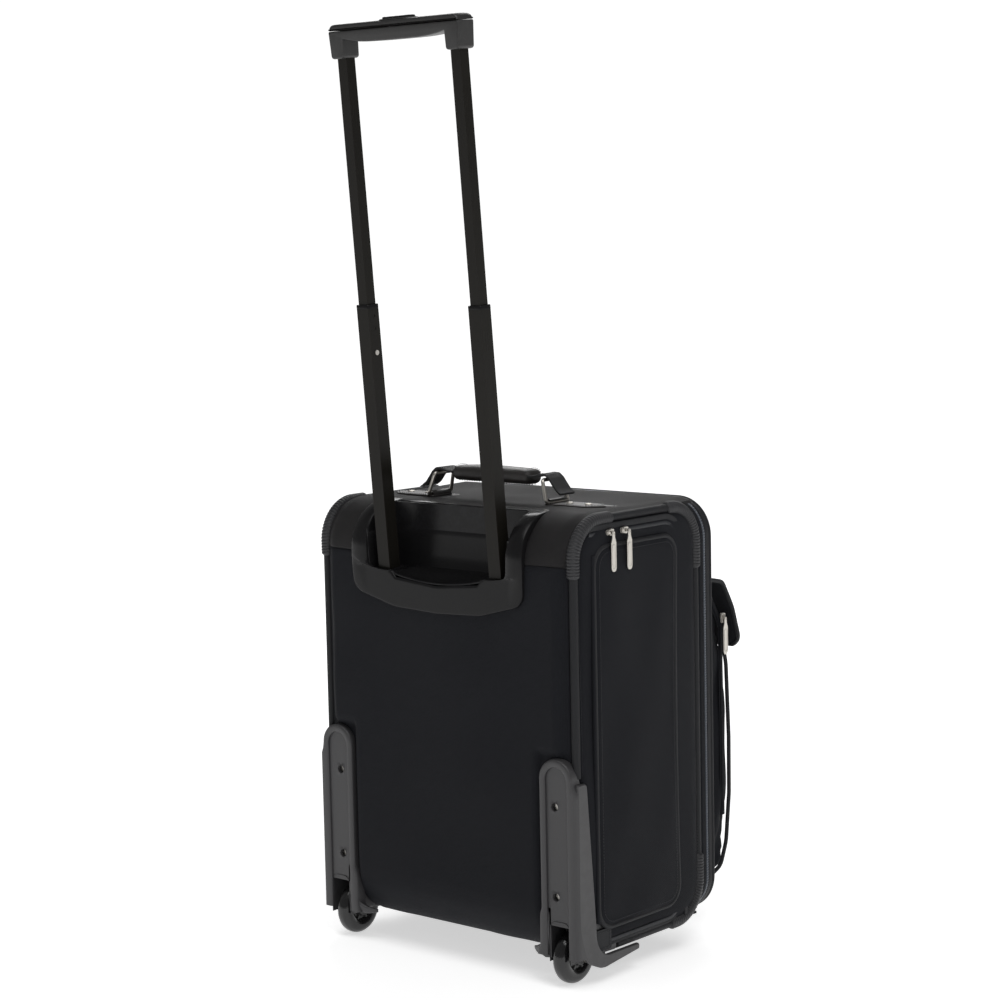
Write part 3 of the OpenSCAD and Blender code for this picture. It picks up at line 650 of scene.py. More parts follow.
GUIDE = Finish("guide_plastic", "guide_plastic", (0.06, 0.06, 0.062), (0.09, 0.09, 0.09), (0.45, 0.6))
GRIP = Finish("grip_plastic", "grip_plastic", (0.0100, 0.0100, 0.0104), (0.019, 0.0180, 0.0170),
              (0.36, 0.48), Surface.GRAIN, 1500.0, 0.0001, 0.25, wear=0.25, worn=(0.06, 0.06, 0.06),
              dust=0.03)
HOUSING = Finish("housing_plastic", "housing_plastic", (0.032, 0.0313, 0.0335), (0.048, 0.0467, 0.0485),
                 (0.36, 0.5), Surface.GRAIN, 1300.0, 0.0001, 0.28, wear=0.25,
                 worn=(0.12, 0.12, 0.12), dust=0.04)
HUB = Finish("hub_plastic", "hub_plastic", (0.012, 0.012, 0.0125), (0.02, 0.02, 0.02), (0.2, 0.36),
             Surface.GRAIN, 500.0, 0.0001, 0.2, dust=0.15)
TYRE = Finish("tyre_rubber", "tyre", (0.006, 0.006, 0.0065), (0.012, 0.012, 0.0125), (0.1, 0.22),
              Surface.GRAIN, 420.0, 0.0001, 0.25, coat=0.1, wear=0.2, worn=(0.08, 0.08, 0.08), dust=0.07)
LEATHER = Finish("handle_leather", "leather", (0.0125, 0.011, 0.0105), (0.024, 0.0205, 0.0185),
                 (0.34, 0.5), Surface.GRAIN, 620.0, 0.00028, 0.45, specular=0.5, wear=0.35,
                 worn=(0.06, 0.05, 0.043), dust=0.03)
WEBBING = Finish("webbing", "webbing", (0.0095, 0.0095, 0.0105), (0.021, 0.021, 0.023), (0.5, 0.7),
                 Surface.WEAVE, 0.0014, 0.0003, 0.8, sheen=0.03, wear=0.12, worn=(0.05, 0.05, 0.05),
                 dust=0.03)


class Wardrobe:
    """Makes each finish's material once."""

    def __init__(self) -> None:
        """Builds the shared node groups."""
        self.groups = {
            "weave": group("weave_relief", {"Pitch": 0.0013}, ("Height", "Shade"), build_weave),
            "grain": group("grain_relief", {"Scale": 900.0}, ("Height", "Shade"), build_grain),
            "wear": group("edge_wear", {"Amount": 0.3}, ("Mask",), build_wear),
            "dust": group("lint_and_dust", {"Amount": 0.1}, ("Mask",), build_dust),
        }
        self.made: dict[str, bpy.types.Material] = {}

    def use(self, t: Tree, name: str, **inputs: float) -> bpy.types.Node:
        """Places a shared group in a material."""
        return t.put("Group", {"node_tree": self.groups[name]}, **inputs)

    def relief(self, t: Tree, f: Finish) -> tuple[bpy.types.NodeSocket, bpy.types.NodeSocket]:
        """The height and the shade of a finish's small relief."""
        if f.relief is Surface.WEAVE:
            node = self.use(t, "weave", Pitch=f.size)
        elif f.relief is Surface.GRAIN:
            node = self.use(t, "grain", Scale=f.size)
        else:
            stretch = t.put("Mapping", None, Vector=t.place(), Scale=(1.0, 1.0, 0.06))
            line = t.noise(f.size * 3, 4, 0.6, stretch.outputs[0])
            return line, line
        return node.outputs["Height"], node.outputs["Shade"]

    def material(self, f: Finish) -> bpy.types.Material:
        """The finish as a material: relief in colour, roughness and bump, then stains, wear, dust."""
        if f.name in self.made:
            return self.made[f.name]
        m = bpy.data.materials.new(f.name)
        m.use_nodes = True
        m.diffuse_color = (*f.color, 1)
        t = Tree(m.node_tree)
        height, shade = self.relief(t, f)
        stain = t.span(t.noise(7.0, 5, 0.6), 0.35, 0.7, 0.0, 1.0)
        share = t.math("MULTIPLY", shade, t.math("ADD", 0.55, t.math("MULTIPLY", stain, 0.45)))
        color = t.mix(share, f.color, f.accent)
        wear = self.use(t, "wear", Amount=f.wear).outputs[0]
        color = t.mix(wear, color, f.worn)
        dust = self.use(t, "dust", Amount=f.dust).outputs[0]
        color = t.mix(dust, color, (0.26, 0.25, 0.24))
        rough = t.math("ADD", t.span(t.math("ADD", t.math("MULTIPLY", stain, 0.6),
                                            t.math("MULTIPLY", shade, 0.4)), 0.0, 1.0, *f.rough),
                       t.math("MULTIPLY", dust, 0.3))
        bump = t.put("Bump", None, Strength=f.strength, Distance=f.depth, Height=height)
        shader = t.put("BsdfPrincipled", None, Base_Color=color, Roughness=rough, Metallic=f.metal,
                       Sheen_Weight=f.sheen, Coat_Weight=f.coat, Specular_IOR_Level=f.specular,
                       Sheen_Roughness=0.4, Coat_Roughness=0.12, Normal=bump.outputs[0])
        out = t.put("OutputMaterial")
        t.feed(out.inputs["Surface"], shader.outputs[0])
        self.made[f.name] = m
        return m


@dataclass
class Shop:
    """Turns patches into Blender pieces on the frame."""

    wardrobe: Wardrobe = field(default_factory=Wardrobe)

    def store(self, name: str, patch: Patch, body: str, finish: Finish, stands_for: Sequence[str] = (),
              bevel: float = 0.0, subdivide: int = 0, thick: float = 0.0, weld: bool = True,
              sharp: float = 38.0, turn_out: bool = False,
              ) -> bpy.types.Object:
        """Makes one piece.

        Args:
            name: Its name.
            patch: Its surface in millimetres.
            body: The body that it rides on.
            finish: Its finish.
            stands_for: CAD nodes that it replaces.
            bevel: Width of a Bevel modifier in millimetres, or 0.
            subdivide: Levels of subdivision.
            thick: Wall thickness, added inwards, in millimetres, or 0.
            weld: Whether points in one place are merged.
            sharp: Angle in degrees over which an edge is shaded sharp.
            turn_out: Whether the faces of this closed shape are turned outwards.

        Returns:
            The piece.
        """
        mesh = bpy.data.meshes.new(name)
        mesh.from_pydata((patch.points + vec(0, BACK_PLANE, 0)) * MM, [], patch.faces)
        if weld or turn_out:
            tidy = bmesh.new()
            tidy.from_mesh(mesh)
            bmesh.ops.remove_doubles(tidy, verts=tidy.verts, dist=2e-6)
            if turn_out:
                bmesh.ops.recalc_face_normals(tidy, faces=tidy.faces)
            tidy.to_mesh(mesh)
            tidy.free()
        mesh.polygons.foreach_set("use_smooth", np.ones(len(mesh.polygons), bool))
        mesh.set_sharp_from_angle(angle=math.radians(sharp))
        mesh.materials.append(self.wardrobe.material(finish))
        piece = bpy.data.objects.new(name, mesh)
        bpy.context.scene.collection.objects.link(piece)
        if thick:
            wall = piece.modifiers.new("thickness", "SOLIDIFY")
            wall.thickness, wall.offset = thick * MM, -1.0
        if bevel:
            soft = piece.modifiers.new("edges", "BEVEL")
            soft.width, soft.segments, soft.limit_method = bevel * MM, 3, "ANGLE"
            soft.angle_limit, soft.harden_normals = math.radians(sharp), False
        if subdivide:
            fine = piece.modifiers.new("subdivision", "SUBSURF")
            fine.levels = fine.render_levels = subdivide
        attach(piece, body)
        if stands_for:
            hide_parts(*stands_for)
        log.info("%s rides on %s: %d faces", name, body, len(mesh.polygons))
        return piece

    def dress(self, finish: Finish, *nodes: str) -> None:
        """Gives CAD nodes a finish."""
        for node in nodes:
            piece = bpy.data.objects[node]
            for place in piece.material_slots:
                place.material = self.wardrobe.material(finish)
            if not piece.material_slots:
                piece.data.materials.append(self.wardrobe.material(finish))
        log.info("%s keep their shape in %s", ", ".join(nodes), finish.name)


# ---- the padded body -------------------------------------------------------------------------

@dataclass
class PaddedBody:
    """The cloth body: a sheet round the outline, two side faces, the rim with its zip, the edges."""

    half_w: float = 180.0
    front: float = -217.0
    low: float = 30.0
    top: float = 494.0
    corner: float = 46.0
    seam_z: float = 443.0
    bulge: float = 5.6
    gusset_x: float = 171.0
    piping_x: float = 176.3
    guard_bend: float = 41.7
    guard_step: float = 0.55
    rib_pitch: float = 3.3
    wall: float = 2.5
    housing_x: float = 135.0
    housing_top: float = 246.0

    def outline(self, inset: float) -> Array:
        """The side outline, inset, as (y, z)."""
        return round_rect((self.front + inset, self.low + inset), (-inset, self.top - inset),
                          self.corner - inset, 14, 34)

    def wrap(self, seam: float, path: Array, rise: Callable[[Array, Array, Array], Array],
             keep: Callable[[Array, Array, Array], Array]) -> Patch:
        """Cloth carried along part of the outline: P(s, x) = outline(s) + normal(s) d(x, s).

        Args:
            seam: Depth of the dip along the sheet's two sides.
            path: Points (y, z) of the outline to follow, back bottom to front top.
            rise: Gives d from x, y and z.
            keep: Which cells stay, from their x, y and z.

        Returns:
            The patch.
        """
        t = np.linspace(-1, 1, 121)
        x = self.gusset_x * np.sign(t) * np.abs(t) ** 0.85
        tangent = unit(np.gradient(path, axis=0))
        normal = np.stack([tangent[:, 1], -tangent[:, 0]], -1)
        gx, gy = np.meshgrid(x, path[:, 0])
        gz = np.repeat(path[:, 1:], len(x), 1)
        edge = smooth((self.gusset_x - np.abs(gx)) / 15.0)
        d = -seam + (seam + rise(gx, gy, gz)) * edge
        y = gy + normal[:, :1] * d
        z = gz + normal[:, 1:] * d
        points = np.stack([gx, y, z], -1)
        c = (points[:-1, :-1] + points[1:, 1:]) / 2
        return grid(points, keep=keep(c[..., 0], c[..., 1], c[..., 2]), flip=True)

    def path(self, from_z: float, to_z: float, over_top: bool) -> Array:
        """Even points of the outline: up the back from from_z to to_z, or over the top or bottom."""
        if over_top:
            corners = [(0, from_z), (0, self.top), (self.front, self.top)]
        else:
            corners = [(self.front, self.low), (0, self.low), (0, to_z)]
        return resample(fillet(corners, [0, self.corner, 0], steps=24), 3.0)

    def rise_back(self, x: Array, y: Array, z: Array) -> Array:
        """The back stands proud between its edges, and lies flat behind the housings and the well."""
        lift = self.bulge * smooth((z - 50) / 40) * smooth((self.seam_z + 3 - z) / 9 + 0.35)
        hide = smooth((np.abs(x) - self.housing_x + 9) / 9) * smooth((self.housing_top + 9 - z) / 12)
        slack = ripple(3, 95, 1.0)(np.stack([x, z], -1)) * (np.abs(y) < 30)
        pull = 1.1 * np.exp(-((z - self.seam_z + 8) / 7) ** 2) * np.sin(x / 9.5)
        return lift * (1 - hide) - 1.3 * hide + slack * (1 - hide) - 0.2 * pull

    def rise_top(self, x: Array, y: Array, z: Array) -> Array:
        """The top sags a little between its seams and rises over the seam across the back."""
        on_back = smooth((self.seam_z + 34 - z) / 34)
        lap = 2.2 * smooth((z - self.seam_z) / 3) * on_back
        sag = -1.8 * smooth((z - 480) / 10) * np.exp(-((y + 150) / 60) ** 2)
        return 3.4 * on_back + lap + sag + ripple(7, 80, 0.7)(np.stack([x, y + z], -1))

    def sheets(self, shop: Shop) -> None:
        """Makes the back and bottom sheet, the top sheet and the stitches of the seam between them."""
        def keep_low(x: Array, y: Array, z: Array) -> Array:
            """Leaves out the wheel bays and the hole under the well's flange."""
            bay = (np.abs(x) > 136) & (z < 84) & (y > -62)
            well = (np.abs(x) < 106) & (z > 409) & (y > -36)
            return ~(bay | well)

        def keep_top(x: Array, y: Array, z: Array) -> Array:
            """Leaves out the handle well."""
            return ~((np.abs(x) < 104) & (y > -35))

        low = self.wrap(4.3, self.path(0, self.seam_z, False), self.rise_back, keep_low)
        shop.store("back_cloth", low, "case", CLOTH, ["back_panel", "bottom_panel"],
                   thick=self.wall)
        high = self.wrap(4.0, self.path(self.seam_z, 0, True), self.rise_top, keep_top)
        shop.store("top_cloth", high, "case", TOP_CLOTH, ["top_panel"], thick=self.wall)
        x = np.linspace(-self.gusset_x, self.gusset_x, 120)
        y = np.interp(np.abs(x), [0, 150, 160, 171], [5.6, 5.6, 3.2, -3.6])
        seam = np.stack([x, y, np.full(120, self.seam_z + 4.5)], -1)
        gaps = [seam[(x > a) & (x < b)] for a, b in ((-168, -127), (127, 168))]
        rows = [stitches(g, vec(0, 1, 0)) for g in gaps]
        shop.store("top_seam_stitches", Patch.join(rows), "case", THREAD, weld=False)

    def side_put(self, side: float) -> Callable[[Array, Array], Array]:
        """Carries (y, z) and a height onto the side face at X = side times half the width."""
        def put(flat: Array, height: Array) -> Array:
            """Places flat points with heights."""
            return np.stack([side * (self.half_w - 4.5 + height), flat[:, 0], flat[:, 1]], -1)

        return put

    def sides(self, shop: Shop) -> None:
        """Makes the two side faces; the right one has the hole behind the door."""
        for side, name in SIDES:
            def hole(flat: Array) -> Array:
                """Leaves out the wheel bay and, on the right, the doorway."""
                bay = (flat[:, 1] < 84) & (flat[:, 0] > -62)
                door = (np.abs(flat[:, 0] + 103.5) < 61) & (np.abs(flat[:, 1] - 259) < 188.5)
                return ~(bay | (door & (side < 0)))

            roll = [(9.0, -1.5), (9.6, 0.2), (11.0, 1.8), (13.5, 3.2), (17.0, 4.2), (22.0, 4.8)]
            face = cushion(self.outline, self.side_put(side), roll, 1.2, 34, 2.6, flip=side < 0,
                           wrinkle=ripple(11 + int(side), 120, 1.1, 1.6), keep=hole)
            shop.store(f"side_cloth_{name}", face, "case", CLOTH, [f"side_panel_{name}"],
                       thick=self.wall)
        rim = round_rect((-164.5, 70.5), (-42.5, 447.5), 16, 10, 30)
        path = lifted(rim, self.side_put(-1), 3.0)
        shop.store("doorway_binding", sweep(path, round_rect((-2.4, -3.4), (2.4, 3.4), 1.4, 3, 2),
                   vec(-1, 0, 0), closed=True), "case", BINDING)

    def edges(self, shop: Shop) -> None:
        """Makes the piping of both side faces and the ribbed rubber guards on its corners."""
        line = resample(self.outline(4.3), 2.0, closed=True)
        free = ~((line[:, 0] > -64) & (line[:, 1] < 60)) & ~((line[:, 0] > -31) & (line[:, 1] < 224))
        start = int(np.argmax(~free))
        line, free = np.roll(line, -start, 0), np.roll(free, -start)
        line = line[free]
        ribs: list[Patch] = []
        for side, name in SIDES:
            path = at_x(line, side * self.piping_x)
            inward = unit(vec(side * self.piping_x, -108.5, 262) - path) * vec(0, 1, 1)
            shop.store(f"piping_bead_{name}", sweep(path, circle(4.6, 18), vec(1, 0, 0)), "case",
                       BINDING, [f"piping_{name}"])
            stitch_line = at_x(line, side * 179.2) + inward * 6.3
            shop.store(f"piping_stitches_{name}", stitches(stitch_line, vec(side, 0, 0)), "case",
                       THREAD, weld=False)
            for corners in ([(-66, 489.7), (-4.3, 489.7), (-4.3, 432)],
                            [(-212.7, 420), (-212.7, 489.7), (-162, 489.7)],
                            [(-160, 34.3), (-212.7, 34.3), (-212.7, 102)]):
                bend = resample(fillet(corners, [0, self.guard_bend, 0], steps=40), self.guard_step)
                ribs.append(self.guard(bend, side))
        shop.store("corner_guard_ribs", Patch.join(ribs), "case", RUBBER, ["corner_guards"])

    def guard(self, bend: Array, side: int) -> Patch:
        """A rubber sleeve with round ribs every 3.3 mm, k = 1 + h |cos|, closed at both ends."""
        run = np.arange(len(bend)) * self.guard_step
        swell = 1.0 + 0.13 * np.abs(np.cos(run / self.rib_pitch * math.pi)) ** 0.6
        end = np.minimum(run, run[-1] - run)
        swell = np.where(end < self.rib_pitch, 1.06 - 0.28 * (1 - smooth(end / 2.0)), swell)
        return sweep(at_x(bend, side * self.piping_x), circle(6.3, 22), vec(1, 0, 0), swell=swell)

    def rim(self, shop: Shop) -> None:
        """Makes the rim round the front opening, its zip tape, its coil teeth and the lining."""
        outline = round_rect((-self.half_w + 4, self.low + 4), (self.half_w - 4, self.top - 4), 38, 14,
                             40)
        line = resample(outline, 4.0, closed=True)
        path = at_y(line, -221.2)
        tube = fillet([(4.2, 5.2), (-3.6, 4.2), (-3.6, -4.2), (4.2, -4.8)], [2.6] * 4, closed=True, steps=4)
        shop.store("rim_binding", sweep(path, tube, vec(0, 1, 0), closed=True), "case", CLOTH,
                   ["front_rim"])
        around = round_rect((-self.half_w + 1.6, self.low + 1.6), (self.half_w - 1.6, self.top - 1.6),
                            41, 14, 40)
        dense = resample(around, 1.45, closed=True)
        curve = at_y(dense, -227.2)
        beat = 0.72 + 0.28 * (np.arange(len(dense)) % 2)
        coil = sweep(curve, round_rect((-2.6, -1.5), (2.1, 2.3), 0.9, 2, 1), vec(0, 1, 0), closed=True,
                     swell=beat)
        shop.store("main_zip_coil", coil, "case", TEETH)
        inner = round_rect((-self.half_w + 6, self.low + 6), (self.half_w - 6, self.top - 6), 38, 8, 12)
        wall = []
        for y in np.linspace(-222, -7, 12):
            room = math.sqrt(40.0 ** 2 - max(y + self.corner, 0.0) ** 2)
            z = np.clip(inner[:, 1], self.low + self.corner - room, self.top - self.corner + room)
            wall.append(np.stack([inner[:, 0], np.full(len(inner), y), z], -1))
        wall = np.array(wall)
        mid = (wall[:-1] + np.roll(wall, -1, 1)[1:]) / 2
        door = (mid[..., 0] < -170) & (np.abs(mid[..., 1] + 103) < 63) & (np.abs(mid[..., 2] - 259) < 190)
        bay = (np.abs(mid[..., 0]) > 130) & (mid[..., 2] < 90) & (mid[..., 1] > -68)
        well = (np.abs(mid[..., 0]) < 106) & (mid[..., 2] > 400) & (mid[..., 1] > -40)
        lining = grid(wall, close_v=True, keep=~(door | bay | well))
        shop.store("lining", lining, "case", LINING, thick=0.8)
        seam = round_rect((-self.half_w + 9, self.low + 9), (self.half_w - 9, self.top - 9), 33, 10, 20)
        ring = resample(seam, 4.0, closed=True)
        tape = at_y(ring, -226.2)
        shop.store("rim_stitches", stitches(tape, vec(0, -1, 0)), "case", THREAD, weld=False)

    def build(self, shop: Shop) -> None:
        """Builds every part of the body."""
        self.sheets(shop)
        self.sides(shop)
        self.edges(shop)
        self.rim(shop)
        shop.dress(STEEL, "frame_wires")
        shop.dress(BOARD, "back_board")
        shop.dress(TUBE, "outer_tube_left", "outer_tube_right")
        shop.dress(GLOSS, "tube_foot")


# ---- trolley ---------------------------------------------------------------------------------

@dataclass
class Trolley:
    """The well, the collars and the grip with its button."""

    rake: float = 4.8
    tube_x: float = 79.7
    tube_y: float = -2.0
    well_z: float = 426.0
    grip_top: float = 586.05
    grip_half: float = 90.5
    grip_deep: float = 12.5
    collar: float = 288.01
    tube_hole: float = 10.2
    well_side: float = 104.0
    well_low: float = 424.0
    well_back: float = -34.0

    def raked(self, x: Array, y: Array, h: Array) -> Array:
        """Points given along the trolley's own axis, in space."""
        a = math.radians(self.rake)
        return np.stack([x, self.tube_y + y * math.cos(a) + h * math.sin(a),
                         self.well_z - y * math.sin(a) + h * math.cos(a)], -1)

    def around(self, x: float, loops: Sequence[tuple[Array, float]]) -> Array:
        """Flat outlines round an axis at x, each at its own height: the rows of a grid."""
        return np.array([self.raked(x + p[:, 0], p[:, 1], np.full(len(p), h)) for p, h in loops])

    def slab(self, outline: Array, lift: Callable[[Array, float], Array], low: float, high: float,
             ) -> Patch:
        """A plate: an outline carried from low to high, closed by its own outline at both ends."""
        points = np.stack([lift(outline, low), lift(outline, high)])
        return grid(points, close_v=True, flip=True).capped(len(outline), turned_over=True)

    def moulding(self, w: Array) -> tuple[Array, Array]:
        """The outer face of the moulding, unrolled: w is z on the back, then runs on over the top.

        Over the rounded edge it is the oval y = -46 + 58 sin a, z = 448 + 48.5 cos a, a from 90 to 0.

        Args:
            w: Distances along the face.

        Returns:
            Points (y, z) of the face and its outward normals there.
        """
        a = np.radians(np.linspace(90, 0, 60))
        oval = np.stack([58 * np.sin(a) - 46, 48.5 * np.cos(a) + 448], -1)
        face = np.concatenate([[(12.0, 370.0)], oval, [(-70.0, 496.5)]])
        run = 370.0 + np.concatenate([[0], np.cumsum(np.linalg.norm(np.diff(face, axis=0), axis=1))])
        point = np.stack([np.interp(w, run, face[:, k]) for k in (0, 1)], -1)
        ahead = np.stack([np.interp(w + 1.5, run, face[:, k]) - np.interp(w - 1.5, run, face[:, k])
                          for k in (0, 1)], -1)
        along = unit(ahead)
        return point, np.stack([along[..., 1], -along[..., 0]], -1)

    def swell(self, x: Array, w: Array, across: Array) -> Array:
        """How far the moulding stands out: its arms are full, with a slanted facet at each foot.

        Args:
            x: Distance from the middle.
            w: Distance up the face.
            across: 0 at the outer edge of the moulding and 1 at the inner.

        Returns:
            The height over the face.
        """
        x = np.abs(x)
        foot, knee, inner, outer = 401.0, 429.0, 102.5, 117.0
        arm = 1.7 * np.clip((w - foot) / (knee - foot), 0, 1)
        facet = (x < outer) & (w < knee) & (w > foot + (x - inner) * (knee - foot) / (outer - inner))
        arm = np.where(facet, 1.7 * np.clip((x - inner) / (outer - inner), 0, 1), arm)
        lip = smooth((w - 500) / 20)
        full = smooth((w - 424) / 12) * (1 - 0.8 * lip) * (x > 95)
        return arm * (1 - lip) + 2.0 * full * np.sin(math.pi * across) ** 0.8

    def well(self, shop: Shop) -> None:
        """The glossy moulding: a frame bent over the edge of the case, and the hollow behind it."""
        outer = [(0, 382.8), (62, 385.5), (121, 401), (122.5, 440), (120, 500), (117, 531.8)]
        inner = [(0, 413.0), (59, 418.5), (64, 425.0), (99, 426), (100.5, 470), (99, 519.5)]
        turn_out, turn_in = [70, 60, 17, 40, 40, 9], [60, 3, 3, 9, 40, 12]
        loops = []
        for corners, turn in ((outer, turn_out), (inner, turn_in)):
            ring = corners + [(-x, w) for x, w in corners[:0:-1]]
            loops.append(fillet(ring, turn + turn[:0:-1], True, 8))
        lengths = [np.linalg.norm(np.roll(loop, -1, 0) - loop, axis=1) for loop in loops]
        cuts = np.maximum(np.ceil(np.maximum(*lengths) / 2.0), 1).astype(int)
        far, near = [np.concatenate([loop[i] + (np.roll(loop, -1, 0)[i] - loop[i])
                                     * np.arange(k)[:, None] / k for i, k in enumerate(cuts)])
                     for loop in loops]
        over = near - far
        width = np.linalg.norm(over, axis=1, keepdims=True)
        step = over / width
        rows = []
        for inset, height in ((0.0, -6.3), (0.0, -1.9), (0.35, -0.8), (1.0, -0.2), (2.0, 0.0)):
            rows.append((far + step * inset, inset / width[:, 0], height))
        for share in np.linspace(0.12, 0.9, 17):
            rows.append((far + over * share, np.full(len(far), share), 0.0))
        for inset, height in ((1.6, -0.1), (0.7, -0.6), (0.15, -1.6), (0.0, -3.2), (-0.1, -10.0)):
            rows.append((near - step * inset, 1 - inset / width[:, 0], height))
        layers = []
        for flat, across, height in rows:
            face, normal = self.moulding(flat[:, 1])
            shallow = (flat[:, 1] < 440) & (height < -4.0)
            lift = np.where(shallow & (across > 0.9), -4.0, height)
            lift = lift + self.swell(flat[:, 0], flat[:, 1], np.clip(across, 0, 1))
            put = face + normal * lift[:, None]
            layers.append(np.stack([flat[:, 0], put[:, 0], put[:, 1]], -1))
        shop.store("well_frame", grid(np.array(layers), close_v=True), "case", GLOSS,
                   ["handle_well", "tube_pads"])
        x = np.linspace(-100.6, 100.6, 135)
        y = np.linspace(-31, 10.5, 40)
        gx, gy = np.meshgrid(x, y, indexing="ij")
        bow = 1 - (gx / 62) ** 2
        slope = 426.0 - (3.0 + 7.0 * np.clip(bow, 0, 1)) * smooth((gy + 26) / 34)
        pads = smooth((np.abs(gx) - 61) / 2.2)
        gz = slope * (1 - pads) + 424.4 * pads
        gz = gz + 70 * smooth((np.abs(gx) - 93) / 10) ** 3 + 70 * smooth((-25 - gy) / 7) ** 3
        cx, cy = (gx[1:, 1:] + gx[:-1, :-1]) / 2, (gy[1:, 1:] + gy[:-1, :-1]) / 2
        hole = self.tube_hole
        holes = (np.abs(np.abs(cx) - self.tube_x) < hole) & (np.abs(cy - self.tube_y) < hole)
        floor = grid(np.stack([gx, gy, np.minimum(gz, 490)], -1), keep=~holes)
        shop.store("well_floor", floor, "case", GLOSS, thick=2.0)
        face, normal = self.moulding(np.linspace(430, 519, 30))
        edge = face - normal * 3.5
        wide, low, rear = self.well_side, self.well_low, self.well_back
        side = np.concatenate([[(rear, 493), (rear, low), (9.0, low)], edge])
        walls = [self.slab(side, at_x, s * 100.4, s * wide) for s in (1, -1)]
        back = np.array([(-wide, low), (wide, low), (wide, 494.6), (-wide, 494.6)])
        walls.append(self.slab(back, at_y, rear, -30.2))
        shop.store("well_walls", Patch.join(walls), "case", GLOSS, turn_out=True, bevel=0.8)
        sleeves = []
        for s in (1, -1):
            outside = round_rect((-12.6, -12.6), (12.6, 12.6), 3.4, 5, 2)
            inside = round_rect((-8.7, -8.7), (8.7, 8.7), 1.6, 5, 2)
            loops = [(outside, -4.6), (outside, -0.6), (outside * 0.965, 0.3), (inside * 1.12, 0.4),
                     (inside, -0.3), (inside, -12.0)]
            sleeves.append(grid(self.around(s * self.tube_x, loops), close_v=True))
        shop.store("tube_sleeves", Patch.join(sleeves), "case", GLOSS)

    def tube_details(self, shop: Shop) -> None:
        """Collars with rounded tops in place of the plain ones, and the tubes' own finish."""
        rings = []
        for s in (1, -1):
            outer = round_rect((-9.0, -9.0), (9.0, 9.0), 2.6, 6, 2)
            inner = round_rect((-6.45, -6.75), (6.45, 6.75), 1.4, 6, 2)
            loops = [(inner, -3.0), (outer, -4.2), (outer, -0.9), (outer * 0.95, -0.1),
                     (inner * 1.08, 0.05), (inner, -0.5), (inner, -3.0)]
            loops = [(p, self.collar + h) for p, h in loops]
            rings.append(grid(self.around(s * self.tube_x, loops), close_v=True))
        shop.store("collar_caps", Patch.join(rings), "mid_stage", GLOSS, ["mid_collars"])
        shop.dress(TUBE, "mid_tube_left", "mid_tube_right", "upper_tube_left", "upper_tube_right")
        shop.dress(GUIDE, "mid_guides", "upper_guides")
        shop.dress(STEEL, "push_rods", "button_spring", "lock_pin_left", "lock_pin_right", "grip_screws")

    def grip(self, shop: Shop) -> None:
        """The two mouldings of the grip, split by a parting line, and the oval button on top."""
        top, half, deep = self.grip_top, self.grip_half, self.grip_deep
        leg = half - 19.5
        x = np.linspace(leg, -leg, 31)
        belly = np.stack([x, top - 24 + 5 * np.abs(x / leg) ** 4], -1)
        low = np.concatenate([
            fillet([(-half, top - 10.3), (-half + 0.8, top - 39), (-leg - 0.8, top - 39), (-leg, top - 19)],
                   [0, 3.5, 3.5, 0]), belly[::-1][1:-1],
            fillet([(leg, top - 19), (leg + 0.8, top - 39), (half - 0.8, top - 39), (half, top - 10.3)],
                   [0, 3.5, 3.5, 0])])
        high = fillet([(half, top - 9.9), (half, top - 3), (-half, top - 3), (-half, top - 9.9)],
                      [0, 6.5, 6.5, 0], steps=9)

        def body(outline: Array, crown: float) -> Patch:
            """The outline carried across the grip's depth, rounded at both faces."""
            layers = []
            for y, pull in ((-1.0, 1.9), (-0.985, 1.0), (-0.93, 0.35), (-0.8, 0.0), (-0.4, 0.0), (0.0, 0.0),
                            (0.4, 0.0), (0.8, 0.0), (0.93, 0.35), (0.985, 1.0), (1.0, 1.9)):
                p = outline.copy()
                n = unit(np.roll(p, -1, 0) - np.roll(p, 1, 0))
                out = np.stack([n[:, 1], -n[:, 0]], -1)
                p = p - out * pull
                p[:, 1] -= crown * abs(y) ** 2 * (outline[:, 1] > top - 9)
                layers.append(self.raked(p[:, 0], np.full(len(p), y * deep), p[:, 1]))
            return grid(np.array(layers), close_v=True).capped(len(outline))

        shop.store("grip_body", body(low, 0.0), "upper_stage", GRIP, ["grip_base"], turn_out=True,
                   sharp=50)
        shop.store("grip_cap", body(high, 0.8), "upper_stage", GRIP, ["grip_cover"], turn_out=True,
                   sharp=50)
        oval = round_rect((-20.8, -6.8), (20.8, 6.8), 6.7, 12, 10)
        shrink = [(1.0, -6.0), (1.0, -1.4), (0.985, -0.7), (0.93, -0.2), (0.8, 0.0), (0.4, 0.1),
                  (0.0, 0.1)]
        button = [(oval * vec(1 - (1 - k) * 0.45 if k > 0.5 else k, k), top + h - 0.1)
                  for k, h in shrink]
        shop.store("push_button", grid(self.around(0, button), close_v=True), "button", GLOSS,
                   ["lock_button"])
        bezel = []
        for k, h in ((1.0, -3.4), (1.07, -2.3), (1.16, -2.25), (1.24, -3.2)):
            more = 14 * (k - 1)
            wide = round_rect((-21.2 - more, -7.2 - more), (21.2 + more, 7.2 + more), 7.1 + more, 12, 10)
            bezel.append((wide, top + h))
        shop.store("button_bezel", grid(self.around(0, bezel), close_v=True, flip=True), "upper_stage",
                   GRIP)

    def build(self, shop: Shop) -> None:
        """Builds the trolley's pieces."""
        self.well(shop)
        self.tube_details(shop)
        self.grip(shop)


# ---- wheels and their housings ---------------------------------------------------------------

